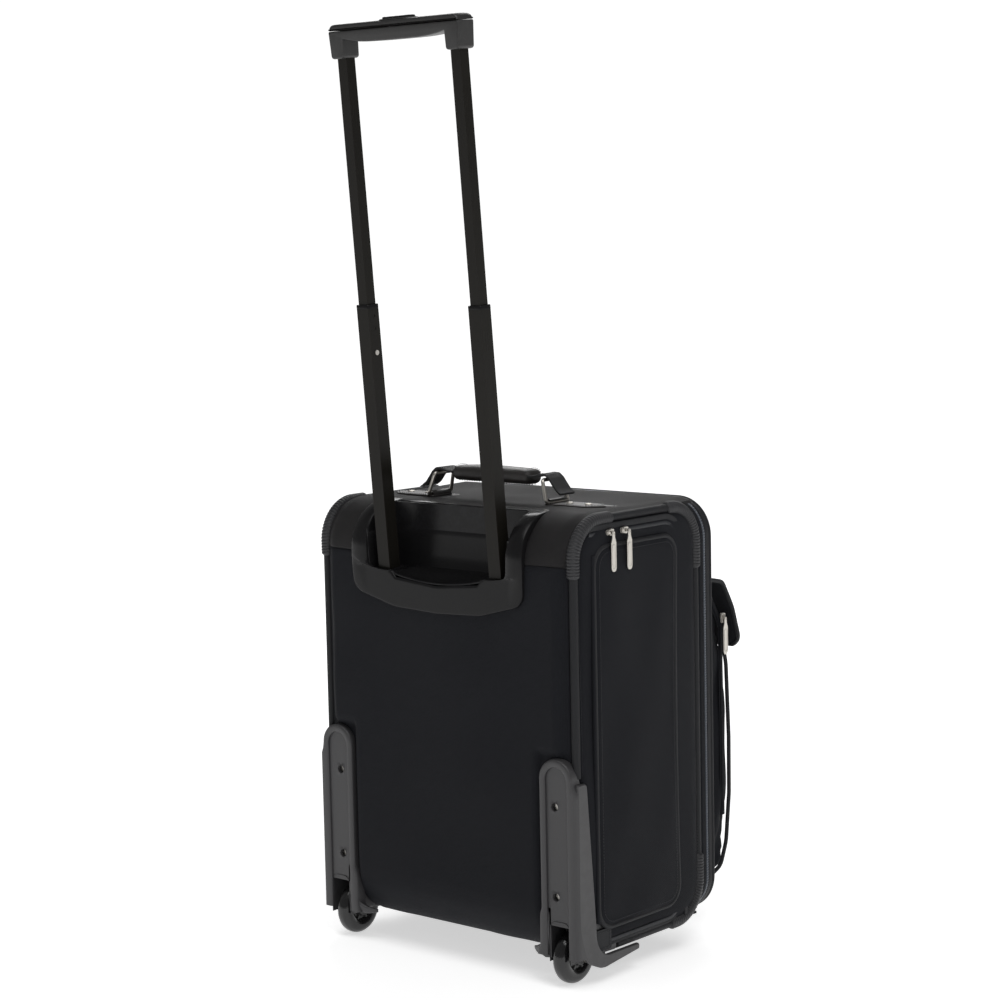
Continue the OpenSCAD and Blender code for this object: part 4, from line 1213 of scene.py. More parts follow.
def plate(outline: Array, lift: Callable[[Array, float], Array], levels: Sequence[tuple[float, float]],
          ) -> Patch:
    """A closed plate with softened edges: its outline at each level, drawn in by that level's inset.

    Args:
        outline: Flat outline, anticlockwise.
        lift: Carries flat points to a depth.
        levels: Depth and inset of each layer.

    Returns:
        The patch.
    """
    turn = np.roll(outline, -1, 0) - np.roll(outline, 1, 0)
    out = unit(np.stack([turn[:, 1], -turn[:, 0]], -1))
    rows = np.array([lift(outline - out * inset, depth) for depth, inset in levels])
    return grid(rows, close_v=True).capped(len(outline), turned_over=True)


def soft_levels(low: float, high: float, soft: float) -> list[tuple[float, float]]:
    """Layers of a plate from low to high whose edges are rounded by soft."""
    steps = [(1 - math.cos(a), 1 - math.sin(a)) for a in (0.0, 0.4, 0.8, 1.2, math.pi / 2)]
    ends = [(soft * k, soft * inset) for k, inset in steps]
    way = 1 if high > low else -1
    return ([(low + way * k, inset) for k, inset in ends]
            + [(high - way * k, inset) for k, inset in reversed(ends)])


@dataclass
class Running:
    """The two wheels and the moulded housings that carry them."""

    wheel_x: float = 157.5
    axle_y: float = -17.5
    axle_z: float = 29.0
    arch_x: float = 157.9
    screw_x: float = 155.0
    screw_z: tuple[float, float] = (97.0, 193.0)

    def legs(self, inner: float, outer: float, centre_z: float, radius: float, low: float) -> Array:
        """An arch-topped outline, open below: up at inner, round the arch, down at outer."""
        up = np.stack([np.full(30, inner), np.linspace(low, centre_z, 31)[:-1]], -1)
        bow = arc((self.arch_x, centre_z), radius, 180, 0, 29)
        down = np.stack([np.full(30, outer), np.linspace(centre_z, low, 31)[1:]], -1)
        return np.concatenate([up, bow, down])

    def rim(self) -> Patch:
        """The raised rim: P(s, k) = O(s) + w_k (I(s) - O(s)) at depth y_k, with a step at its foot."""
        outer = self.legs(135.8, 180.0, 222.0, 22.1, 33.0)
        z = outer[:, 1]
        right = outer[:, 0] > self.arch_x
        outer[:, 0] += np.where(right, 4.9 * smooth((219 - z) / 9), 0.0)
        outer[:, 0] -= np.where(~right, 2.6 * smooth((84 - z) / 8) + 5 * smooth((46 - z) / 16), 0.0)
        inner = self.legs(143.9, 172.2, 221.0, 14.2, 33.0)
        w = vec(0, 0, 0.03, 0.10, 0.22, 0.5, 0.80, 0.91, 0.98, 1.0, 1.0)
        y = vec(-4, 5.2, 7.4, 8.5, 9.0, 9.25, 9.0, 8.7, 8.0, 7.0, 4.5)
        flat = outer[:, None] + w[None, :, None] * (inner - outer)[:, None]
        depth = np.broadcast_to(y, flat.shape[:2]).copy()
        side = right[:, None] * (w < 0.3)[None, :] * smooth((219 - z) / 9)[:, None]
        depth = depth - side * (1 - w / 0.3)[None, :] ** 2 * 3.5
        return grid(np.stack([flat[..., 0], depth, flat[..., 1]], -1), flip=True)

    def channel(self) -> list[Patch]:
        """The floor of the recess, with a round hole for each screw, and the holes' cups."""
        low_x, high_x, y = 143.6, 172.5, 6.2
        parts = []
        turn = np.radians(np.linspace(0, 360, 65)[:-1])
        ray = np.stack([np.cos(turn), np.sin(turn)], -1)
        spans, last = [], 66.0
        for z in self.screw_z:
            spans.append((last, z - 12))
            last = z + 12
            centre = vec(self.screw_x, z)
            reach = np.minimum(np.where(ray[:, 0] > 0, high_x - self.screw_x, self.screw_x - low_x)
                               / np.maximum(np.abs(ray[:, 0]), 1e-6),
                               12 / np.maximum(np.abs(ray[:, 1]), 1e-6))
            rows = [at_y(centre + ray * (4.6 + (reach[:, None] - 4.6) * k), y) for k in (1, 0.5, 0.12)]
            rows += [at_y(centre + ray * 4.9, y + 0.5), at_y(centre + ray * 4.4, y + 0.3),
                     at_y(centre + ray * 4.2, y - 1), at_y(centre + ray * 4.0, -4.0),
                     at_y(centre + ray * 0.0, -4.0)]
            parts.append(grid(np.array(rows), close_v=True, flip=True))
        spans.append((last, 222.0))
        for a, b in spans:
            gx, gz = np.meshgrid(np.linspace(low_x, high_x, 9), np.linspace(a, b, 9), indexing="ij")
            parts.append(grid(np.stack([gx, np.full(gx.shape, y), gz], -1)))
        cap = arc((self.arch_x, 222.0), 14.6, 0, 180, 25)
        base = np.stack([cap[:, 0], np.full(25, 222.0)], -1)
        parts.append(grid(np.stack([at_y(cap, y), at_y(base, y)]), flip=True))
        return parts

    def liner(self) -> Patch:
        """The wheel arch: an open outline whose top follows the wheel as it goes inwards."""
        rows = []
        for y in np.linspace(7.0, -50.4, 26):
            reach = 33.0 ** 2 - (y - self.axle_y) ** 2
            top = 71.0 if y > self.axle_y else 38 + math.sqrt(max(reach, 0.0))
            corner = [(145.4, 27.0), (145.4, max(top, 34)), (173.6, max(top, 34)), (173.6, 27.0)]
            rows.append(at_y(fillet(corner, [0, 9, 9, 0], steps=8), y))
        return grid(np.array(rows), flip=True)

    def housing(self) -> Patch:
        """One housing, on the left side."""
        flange = fillet([(-11, 219), (4, 219), (5, 84), (4, 60), (-6, 28), (-30, 17.5), (-38, 16.5),
                         (-96, 23.3), (-96, 29.7), (-42, 30), (-30, 34), (-23.5, 50), (-23.2, 68)],
                        [5, 2, 30, 30, 26, 16, 20, 2.6, 2.6, 12, 22, 30, 60], True, 6)[::-1]
        wall = fillet([(-61.5, 83.6), (6, 83.6), (8, 60), (6, 40), (-2, 32.2), (-61.5, 30.5)],
                      [3, 4, 30, 14, 12, 3], True, 5)[::-1]
        parts = [self.rim(), *self.channel(), self.liner(),
                 plate(flange, at_x, soft_levels(180.3, 185.0, 1.5)),
                 plate(wall, at_x, soft_levels(136.0, 145.3, 1.0)),
                 plate(wall, at_x, soft_levels(173.7, 180.2, 0.8))]
        roof = round_rect((145.0, -61.5), (174.0, 5.0), 1.0, 3, 2)
        parts.append(plate(roof, at_z, soft_levels(71.6, 83.6, 0.8)))
        front = round_rect((145.0, 30.6), (174.0, 72.0), 1.0, 3, 2)
        parts.append(plate(front[::-1], at_y, soft_levels(-61.4, -50.6, 0.8)))
        heel = fillet([(134.5, 33.2), (139, 31.2), (146, 31.2), (146, 84), (136, 84)], [3, 3, 0, 0, 0],
                      True, 5)
        parts.append(plate(heel[::-1], at_y, soft_levels(-20.0, 6.2, 1.2)))
        skid = np.array([[140, 3.5, 42], [132, 3.0, 37.4], [124, 0.0, 34.8], [115, -6.0, 34.0]], float)
        path = resample(skid, 2.0)
        taper = np.interp(np.arange(len(path)), [0, len(path) * 0.4, len(path) - 1], [1.25, 1.0, 0.35])
        parts.append(sweep(path, round_rect((-5, -3.2), (5, 3.2), 2.6, 5, 2), vec(0, 1, 0), swell=taper))
        return Patch.join(parts)

    def wheel(self, shop: Shop, side: int, name: str) -> None:
        """A rubber tyre with a moulded seam and grooved walls, and a hub with six ribs."""
        a = np.radians(np.linspace(-148, 148, 47))
        flat = 1 - 0.05 * np.exp(-(a / 0.3) ** 2)
        ring = np.stack([9.0 * np.sin(a), 20 + 9.0 * np.cos(a) * flat], -1)
        ring[:, 1] += 0.22 * np.exp(-(ring[:, 0] / 0.5) ** 2)
        ring[:, 1] -= 0.35 * (np.exp(-((np.abs(ring[:, 0]) - 5.4) / 0.5) ** 2) * (ring[:, 1] > 20))
        tyre = turned(ring, (self.axle_y, self.axle_z), 96)
        shift = vec(side * self.wheel_x, 0, 0)
        shop.store(f"tyre_{name}", tyre.moved(shift), f"wheel_{name}", TYRE, [f"wheel_tyre_{name}"],
                   turn_out=True)
        hub = vec(*[(-11, 4.1), (-11, 7.4), (-10.2, 8.1), (-6.2, 8.4), (-4.4, 10), (-4.4, 13.8),
                    (-6.4, 14.6), (-6.4, 15.9), (-5.2, 16.8), (5.2, 16.8), (6.4, 15.9), (6.4, 14.6),
                    (4.4, 13.8), (4.4, 10), (6.2, 8.4), (10.2, 8.1), (11, 7.4), (11, 4.1)])
        body = turned(hub, (self.axle_y, self.axle_z), 72)
        p = body.points.reshape(len(hub), 72, 3)
        turn = np.arange(72) * 2 * math.pi / 72
        web = (np.abs(hub[:, 1] - 12) < 2.5)[:, None] * np.clip(np.cos(6 * turn) * 4 - 2, 0, 1)[None, :]
        p[..., 0] += np.sign(hub[:, :1]) * web * 2.0
        shop.store(f"hub_{name}", Patch(p.reshape(-1, 3), body.faces).moved(shift), f"wheel_{name}", HUB,
                   [f"wheel_hub_{name}"])

    def build(self, shop: Shop) -> None:
        """Builds both wheels and both housings."""
        one = self.housing()
        shop.store("housing_left", one, "case", HOUSING, ["wheel_housing_left"])
        shop.store("housing_right", one.mirrored(), "case", HOUSING, ["wheel_housing_right"])
        self.wheel(shop, 1, "left")
        self.wheel(shop, -1, "right")
        shop.dress(STEEL, "housing_screws", "axles")
        foot = fillet([(-124, 31), (-131, 1.2), (-169, 1.2), (-173, 31)], [0, 5, 5, 0], steps=6)
        base = np.concatenate([foot, vec(-172, 31)[None]])[::-1]
        shop.store("front_skid", plate(base[1:], at_x, soft_levels(-45, 45, 3.0)), "case", HOUSING,
                   turn_out=True)
        shop.dress(HOUSING, "front_foot")


# ---- carry handle ----------------------------------------------------------------------------

@dataclass
class CarryHandle:
    """The leather handle on the top: patches, tabs, rivets, rings, webbing and the wrapped grip."""

    y: float = -92.0
    ring_x: float = 85.0
    ring_z: float = 498.6
    bar_x: float = 77.5
    bar_z: float = 522.6

    def tabs(self, shop: Shop) -> None:
        """Patch and pointed tab at each end, with a row of stitches inside each edge."""
        patches, tabs, threads, rivets = [], [], [], []
        for s in (1, -1):
            patch = round_rect((72, self.y - 26), (152, self.y + 26), 12, 8, 6)
            tab = fillet([(80, self.y - 17), (134, self.y - 17), (150, self.y - 1.5), (150, self.y + 1.5),
                          (134, self.y + 17), (80, self.y + 17)], [3, 9, 2.4, 2.4, 9, 3], True, 6)
            one = plate(patch, at_z, soft_levels(494.0, 495.4, 0.6))
            two = plate(tab, at_z, soft_levels(495.3, 497.7, 1.0))
            roll = np.radians(np.linspace(-60, 215, 22))
            loop = np.stack([self.ring_x - 0.2 - 4.1 * np.sin(roll),
                             self.ring_z + 4.1 * np.cos(roll) - 0.2], -1)
            three = grid(np.array([at_y(loop, self.y + b) for b in np.linspace(-14.6, 14.6, 9)]))
            for src, keep in ((one, patches), (two, tabs), (three, tabs)):
                keep.append(src if s > 0 else src.mirrored())
            for shape, inset, z in ((patch, 2.4, 495.5), (tab, 2.6, 497.75)):
                turn = np.roll(shape, -1, 0) - np.roll(shape, 1, 0)
                out = unit(np.stack([turn[:, 1], -turn[:, 0]], -1))
                line = resample(shape - out * inset, 1.0, closed=True)
                row = stitches(at_z(line, z), vec(0, 0, 1), 3.2, 2.4, 0.34)
                threads.append(row if s > 0 else row.mirrored())
            for x in (102, 128):
                dome = vec(*[(0.0, 4.3), (0.5, 4.3), (1.2, 3.9), (1.7, 2.8), (1.85, 1.9), (1.45, 1.6),
                             (1.45, 0.0)])
                turn = np.radians(np.arange(32) * 11.25)
                p = np.stack([s * x + dome[:, 1:] * np.cos(turn), self.y + dome[:, 1:] * np.sin(turn),
                              np.repeat(497.5 + dome[:, :1], 32, 1)], -1)
                rivets.append(grid(p, close_v=True))
        shop.store("handle_patches", Patch.join(patches), "case", LEATHER, ["handle_patch"],
                   turn_out=True)
        shop.store("handle_leather_tabs", Patch.join(tabs), "case", LEATHER, ["handle_tabs"])
        shop.store("tab_stitches", Patch.join(threads), "case", THREAD, weld=False)
        shop.store("rivet_heads", Patch.join(rivets), "case", NICKEL, ["tab_rivets"], turn_out=True)

    def rings(self, shop: Shop) -> None:
        """Trapezoid rings of round bar, bent with a small radius at each corner."""
        for s, name in SIDES:
            top_x = s * self.bar_x
            low_x = s * self.ring_x
            corners = [(low_x, self.y - 18.5, self.ring_z), (low_x, self.y + 18.5, self.ring_z),
                       (top_x, self.y + 15.5, self.bar_z), (top_x, self.y - 15.5, self.bar_z)]
            path = resample(fillet(corners, [3.4] * 4, closed=True, steps=8), 0.9, closed=True)
            shop.store(f"nickel_ring_{name}", sweep(path, circle(2.05, 16), vec(1, 0, 0.3), closed=True),
                       f"{name}_ring", NICKEL, [f"ring_{name}"])

    def webbing(self, shop: Shop) -> None:
        """Ribbed webbing that loops over each ring's bar; its ribs run along it."""
        parts, ends = [], []
        across = np.linspace(-12.4, 12.4, 63)
        rib = 0.28 * np.abs(np.sin(across / 2.07 * math.pi))
        edge = smooth((12.4 - np.abs(across)) / 0.8)
        for s in (1, -1):
            outer = fillet([(52, 525.6), (62, 526.2), (72, 528.8), (79, 528.6), (84.5, 524.4), (88, 519.8),
                            (94, 512.4), (99.6, 508.6)], [0, 14, 8, 4, 4, 20, 10, 0], steps=6)
            line = resample(outer, 0.8)
            turn = unit(np.gradient(line, axis=0))
            out = np.stack([-turn[:, 1], turn[:, 0]], -1)
            upper = line[:, None] + out[:, None] * (rib * edge)[None, :, None]
            under = line[:, None] - out[:, None] * (2.3 * edge[None, :, None] + rib[None, :, None] * 0.5)
            for face, flip in ((upper, False), (under, True)):
                p = np.stack([s * face[..., 0], np.broadcast_to(self.y + across, face.shape[:2]),
                              face[..., 1]], -1)
                parts.append(grid(p, flip=flip == (s > 0)))
            tail = np.stack([upper[-1], under[-1]])
            p = np.stack([s * tail[..., 0], np.broadcast_to(self.y + across, tail.shape[:2]),
                          tail[..., 1]], -1)
            ends.append(grid(p))
            for k in (0.0, 1.0):
                path = np.stack([s * line[:, 0], np.full(len(line), self.y + (k - 0.5) * 20.5),
                                 line[:, 1]], -1)
                path = path + np.stack([s * out[:, 0], 0 * out[:, 0], out[:, 1]], -1) * 0.2
                keep = path[(np.abs(path[:, 0]) < 74)]
                ends.append(stitches(keep, vec(0, 0, 1), 3.0, 2.2, 0.3))
        shop.store("handle_webbing", Patch.join(parts + ends), "carry_handle", WEBBING,
                   ["handle_strap"])

    def sleeve(self, shop: Shop) -> None:
        """The leather sleeve: a soft oval that is fuller in the middle, sewn along its underside."""
        x = np.concatenate([[-56.0], np.linspace(-55.8, -54.6, 3), np.linspace(-52, 52, 60),
                            np.linspace(54.6, 55.8, 3), [56.0]])
        end = smooth((56.6 - np.abs(x)) / 4.5) ** 0.35
        full = 1 - 0.10 * (np.abs(x) / 56) ** 3
        a = np.radians(np.arange(56) * 360 / 56)
        shape = np.stack([np.sign(np.cos(a)) * np.abs(np.cos(a)) ** 0.72,
                          np.sign(np.sin(a)) * np.abs(np.sin(a)) ** 0.8], -1)
        seam = 1 - 0.07 * np.exp(-((np.degrees(a) - 270) / 7) ** 2)
        crease = 1 + 0.012 * np.sin(x[:, None] / 5.5 + 3 * np.sin(a)[None, :]) * full[:, None]
        size = (end * full)[:, None] * seam[None, :] * crease
        y = self.y + 14.6 * shape[None, :, 0] * size
        z = 524.3 + 8.9 * shape[None, :, 1] * size - 0.8 * (x[:, None] / 56) ** 2
        p = np.stack([np.repeat(x[:, None], 56, 1), y, z], -1)
        made = grid(p, close_v=True).capped(56)
        shop.store("leather_sleeve", made, "carry_handle", LEATHER, ["handle_grip"],
                   turn_out=True, subdivide=1)
        line = np.stack([np.linspace(-52, 52, 80), np.full(80, self.y + 2.6), np.full(80, 515.3)], -1)
        twin = line + vec(0, -5.2, 0)
        rows = [stitches(line, vec(0, 0, -1), 3.6, 2.6, 0.4), stitches(twin, vec(0, 0, -1), 3.6, 2.6, 0.4)]
        for s in (1, -1):
            turn = np.radians(np.linspace(20, 160, 40))
            hoop = np.stack([np.full(40, s * 51.0), self.y + 14.1 * np.cos(turn),
                             524.0 + 8.9 * np.abs(np.sin(turn)) ** 0.8], -1)
            up = np.stack([0 * turn, np.cos(turn), np.sin(turn)], -1)
            rows.append(stitches(hoop, up, 3.2, 2.3, 0.36))
        shop.store("sleeve_stitches", Patch.join(rows), "carry_handle", THREAD, weld=False)

    def build(self, shop: Shop) -> None:
        """Builds the handle."""
        self.tabs(shop)
        self.rings(shop)
        self.webbing(shop)
        self.sleeve(shop)


# ---- zips ------------------------------------------------------------------------------------

@dataclass
class Zips:
    """Sliders and pulls, all of one pattern."""

    long: float = 41.0

    def slider(self, at: Array, along: Array, out: Array) -> Patch:
        """A slider: a waisted lower plate, a domed upper plate and the bridge that holds the pull.

        Args:
            at: Middle of its foot.
            along: Direction of the zip.
            out: Direction away from the cloth.

        Returns:
            The patch.
        """
        side = np.cross(out, along)

        def lift(flat: Array, depth: float) -> Array:
            """Carries flat points onto the slider's plane."""
            return at + flat[:, :1] * along + flat[:, 1:] * side + depth * out

        body = fillet([(-5.6, -2.6), (2.0, -3.9), (5.8, -3.4), (5.8, 3.4), (2.0, 3.9), (-5.6, 2.6)],
                      [1.6, 3, 1.4, 1.4, 3, 1.6], True, 5)
        low = plate(body, lift, soft_levels(0.1, 1.1, 0.3))
        high = plate(body * 0.97, lift, soft_levels(1.7, 2.8, 0.5))
        turn = np.linspace(0, math.pi, 15)
        hoop = at + np.outer(-3.9 * np.cos(turn), along) + np.outer(2.4 + 1.9 * np.sin(turn) ** 0.7, out)
        bridge = sweep(hoop, round_rect((-1.5, -0.45), (1.5, 0.45), 0.4, 3, 1)[:, ::-1], side)
        post = plate(round_rect((-1.2, -1.4), (1.4, 1.4), 0.8, 4, 1), lift, soft_levels(0.9, 2.0, 0.1))
        return Patch.join([low, high, bridge, post])

    def pull(self, at: Array, across: Array, out: Array) -> Patch:
        """A blank pull: an eye on the pin, a neck and a long plate with a sunk face.

        Args:
            at: The pin.
            across: Direction of its width.
            out: Direction that its face looks.

        Returns:
            The patch.
        """
        down = vec(0, 0, -1)

        def lift(flat: Array, depth: float) -> Array:
            """Carries flat points onto the pull's plane."""
            return at + flat[:, :1] * across + flat[:, 1:] * down + (depth - 0.8) * out

        outline = fillet([(-2.3, -1.6), (2.3, -1.6), (2.2, 5), (4.1, 10), (4.1, 37.5), (2.4, self.long),
                          (-2.4, self.long), (-4.1, 37.5), (-4.1, 10), (-2.2, 5)],
                         [1.6, 1.6, 4, 5, 4, 3, 3, 4, 5, 4], True, 5)
        body = plate(outline, lift, soft_levels(0.0, 1.45, 0.35))
        frame_line = round_rect((-2.7, 12.5), (2.7, 37.3), 1.8, 5, 8)
        border = sweep(lift(frame_line, 1.45), circle(0.42, 8), out, closed=True)
        back = sweep(lift(frame_line, 0.05), circle(0.42, 8), out, closed=True)
        eye = sweep(lift(arc((0, 0.6), 1.5, 0, 360, 25)[:-1], 1.4), circle(0.38, 8), out, closed=True)
        return Patch.join([body, border, back, eye])

    def coil(self, path: Array, out: Array, closed: bool = False) -> Patch:
        """Coil teeth: a flat bead whose section swells once for each tooth, every 1.45 mm twice."""
        line = resample(path, 0.75, closed)
        beat = 0.74 + 0.26 * (np.arange(len(line)) % 2)
        return sweep(line, round_rect((-2.3, -1.0), (2.3, 1.0), 0.8, 2, 1), out, closed=closed, swell=beat)

    def tape(self, path: Array, out: Array, half: float, closed: bool = False) -> Patch:
        """The woven tape beside the coil."""
        return sweep(resample(path, 4.0, closed), round_rect((-half, -0.4), (half, 0.4), 0.3, 2, 3), out,
                     closed=closed)


# ---- side door -------------------------------------------------------------------------------

def puff(piece: bpy.types.Object, cap: float, voxel: float = 5.0, pressure: float = 4.0,
         pinned: Optional[Callable[[Array], Array]] = None) -> None:
    """Fills a closed padded piece with a short cloth simulation, then keeps the result.

    Each point moves at most cap from where it began: P = P0 + min(1, cap / |D|) D.

    Args:
        piece: The piece, without modifiers.
        cap: Furthest that a point may move, in millimetres.
        voxel: Size of the remesh in millimetres.
        pressure: Air pressure in the cloth.
        pinned: Gives 1 for points (in metres) that stay where they are, else 0.
    """
    scene, layer = bpy.context.scene, bpy.context.view_layer
    layer.objects.active = piece
    even = piece.modifiers.new("even", "REMESH")
    even.mode, even.voxel_size, even.use_smooth_shade = "VOXEL", voxel * MM, True
    bpy.ops.object.modifier_apply(modifier=even.name)
    count = len(piece.data.vertices)
    start = np.empty(count * 3)
    piece.data.vertices.foreach_get("co", start)
    start = start.reshape(-1, 3)
    cloth = piece.modifiers.new("cloth", "CLOTH")
    s = cloth.settings
    s.quality, s.mass, s.tension_stiffness, s.compression_stiffness = 5, 0.3, 12, 12
    s.shear_stiffness, s.bending_stiffness = 6, 0.4
    s.use_pressure, s.uniform_pressure_force = True, pressure
    s.effector_weights.gravity = 0
    cloth.point_cache.frame_start, cloth.point_cache.frame_end = 1, 20
    if pinned is not None:
        hold = piece.vertex_groups.new(name="hold")
        held = np.nonzero(pinned(start) > 0.5)[0]
        hold.add([int(i) for i in held], 1.0, "REPLACE")
        s.vertex_group_mass = "hold"
    for step in range(1, 21):
        scene.frame_set(step)
    result = piece.evaluated_get(bpy.context.evaluated_depsgraph_get()).to_mesh()
    end = np.empty(count * 3)
    result.vertices.foreach_get("co", end)
    move = end.reshape(-1, 3) - start
    far = np.linalg.norm(move, axis=1, keepdims=True)
    kept = start + move * np.minimum(1.0, cap * MM / np.maximum(far, 1e-9))
    piece.modifiers.remove(cloth)
    piece.vertex_groups.clear()
    piece.data.vertices.foreach_set("co", kept.ravel())
    piece.data.update()
    scene.frame_set(1)
    log.info("%s filled: furthest point moved %.1f mm", piece.name, float(far.max()) * 1000)


@dataclass
class SideDoor:
    """The padded door of the right face, its binding, zip, sliders and pulls."""

    hinge_y: float = -27.6
    face_x: float = -180.6
    zips: Zips = field(default_factory=Zips)

    def put(self, flat: Array, height: Array) -> Array:
        """Carries (y, z) and a height onto the door's outside."""
        return self.bowed(np.stack([self.face_x - height, flat[:, 0], flat[:, 1]], -1))

    def bowed(self, points: Array) -> Array:
        """Draws the front edge of the door back at mid height, as its slack cloth does."""
        back = 5.0 * np.sin(math.pi * np.clip((points[:, 2] - 45) / 430, 0, 1)) ** 0.7
        return points + (back * smooth((-110 - points[:, 1]) / 60))[:, None] * vec(0, 1, 0)

    def pad(self, shop: Shop) -> None:
        """The pad: a low crowned face with rolled edges, closed behind by its lining."""
        def rim(inset: float) -> Array:
            """Outline of the pad, inset."""
            return round_rect((-171 + inset, 57.5 + inset), (-28.2 - inset, 462.5 - inset), 23 - inset, 12,
                              44)

        roll = [(0.0, 0.0), (0.0, 1.8), (0.5, 3.0), (1.8, 4.2), (4.0, 5.1), (8.0, 5.7), (14.0, 6.0)]
        face = cushion(rim, self.put, roll, 1.3, 24, 2.2, flip=True, wrinkle=ripple(21, 90, 1.3, 2.2))
        back = cushion(rim, self.put, [(0.0, 0.0), (2.0, -0.1)], 0.0, 10)
        shop.store("door_pad", Patch.join([face, back]), "door", CLOTH, ["side_door"],
                   turn_out=True)
        line = resample(rim(0.6), 2.0, closed=True)
        shop.store("door_binding", sweep(lifted(line, self.put, 2.6), circle(2.7, 14), vec(-1, 0, 0),
                   closed=True), "door", BINDING)
        inner = resample(rim(6.6), 2.0, closed=True)
        shop.store("door_stitches", stitches(lifted(inner, self.put, 6.0), vec(-1, 0, 0)), "door",
                   THREAD, weld=False)
        z = np.linspace(66, 454, 90)
        fold = np.stack([np.full(90, -183.0), np.full(90, self.hinge_y), z], -1)
        shop.store("door_hinge_fold", sweep(fold, round_rect((-2.6, -2.4), (2.6, 2.4), 2.0, 5, 2),
                   vec(-1, 0, 0)), "door", CLOTH)

    def zip(self, shop: Shop) -> None:
        """The zip round three sides, its end tab and the two sliders with their pulls."""
        way = fillet([(-24, 475.5), (-178, 475.5), (-178, 43.0), (-24, 43.0)], [0, 27, 27, 0], steps=14)
        out = vec(-1, 0, 0)
        line = self.bowed(at_x(resample(way, 2.0), -181.6))
        shop.store("door_zip_coil", self.zips.coil(line, out), "case", DARK_TEETH)
        edge = self.bowed(at_x(resample(way, 4.0), -180.7))
        shop.store("door_zip_tape", self.zips.tape(edge, out, 6.0), "case", BINDING)
        lip = fillet([(-30, 469.0), (-172.5, 469.0), (-172.5, 50.5), (-30, 50.5)], [0, 24, 24, 0], steps=14)
        guard = self.bowed(at_x(resample(lip, 4.0), -181.9))
        shop.store("door_zip_guard", self.zips.tape(guard, out, 4.2), "door", CLOTH)
        over = fillet([(-24, 482.0), (-183.5, 482.0), (-183.5, 250), (-183.5, 40)], [0, 30, 0, 0], steps=14)
        welt = self.bowed(resample(at_x(over, -181.2), 3.0))
        bead = round_rect((-3.0, -1.2), (3.0, 1.2), 1.0, 4, 2)
        shop.store("door_zip_welt", sweep(welt, bead, out), "case", BINDING)
        tab = round_rect((-49, 35.5), (-22, 57.0), 2.2, 5, 4)
        shop.store("zip_end_tab", plate(tab[::-1], at_x, soft_levels(-180.2, -183.2, 0.7)), "case", BINDING,
                   turn_out=True)
        edge = resample(round_rect((-46.8, 37.7), (-24.2, 54.8), 1.4, 4, 4), 1.0, closed=True)
        shop.store("tab_edge_stitches", stitches(at_x(edge, -183.25), out), "case", THREAD, weld=False)
        for name, y, x, deep in (("rear", -57.0, -188.3, 0.0), ("front", -81.0, -190.4, 1.0)):
            at = vec(-182.4, y, 475.5)
            slider = self.zips.slider(at, vec(0, -1, 0), out)
            reach = vec(-183.8 - deep, y, 475.5)
            pin = sweep(np.array([reach, vec(x - 0.9, y, 475.5)]), circle(0.9, 10), vec(0, 1, 0))
            shop.store(f"{name}_slider_body", Patch.join([slider, pin]), f"{name}_slider", NICKEL,
                       [f"door_slider_{name}"])
            shop.store(f"{name}_pull_tag", self.zips.pull(vec(x, y, 475.5), vec(0, 1, 0), out),
                       f"{name}_pull", NICKEL, [f"door_pull_{name}"])

    def build(self, shop: Shop) -> None:
        """Builds the door."""
        self.pad(shop)
        self.zip(shop)


# ---- front cover, pocket and flap ------------------------------------------------------------

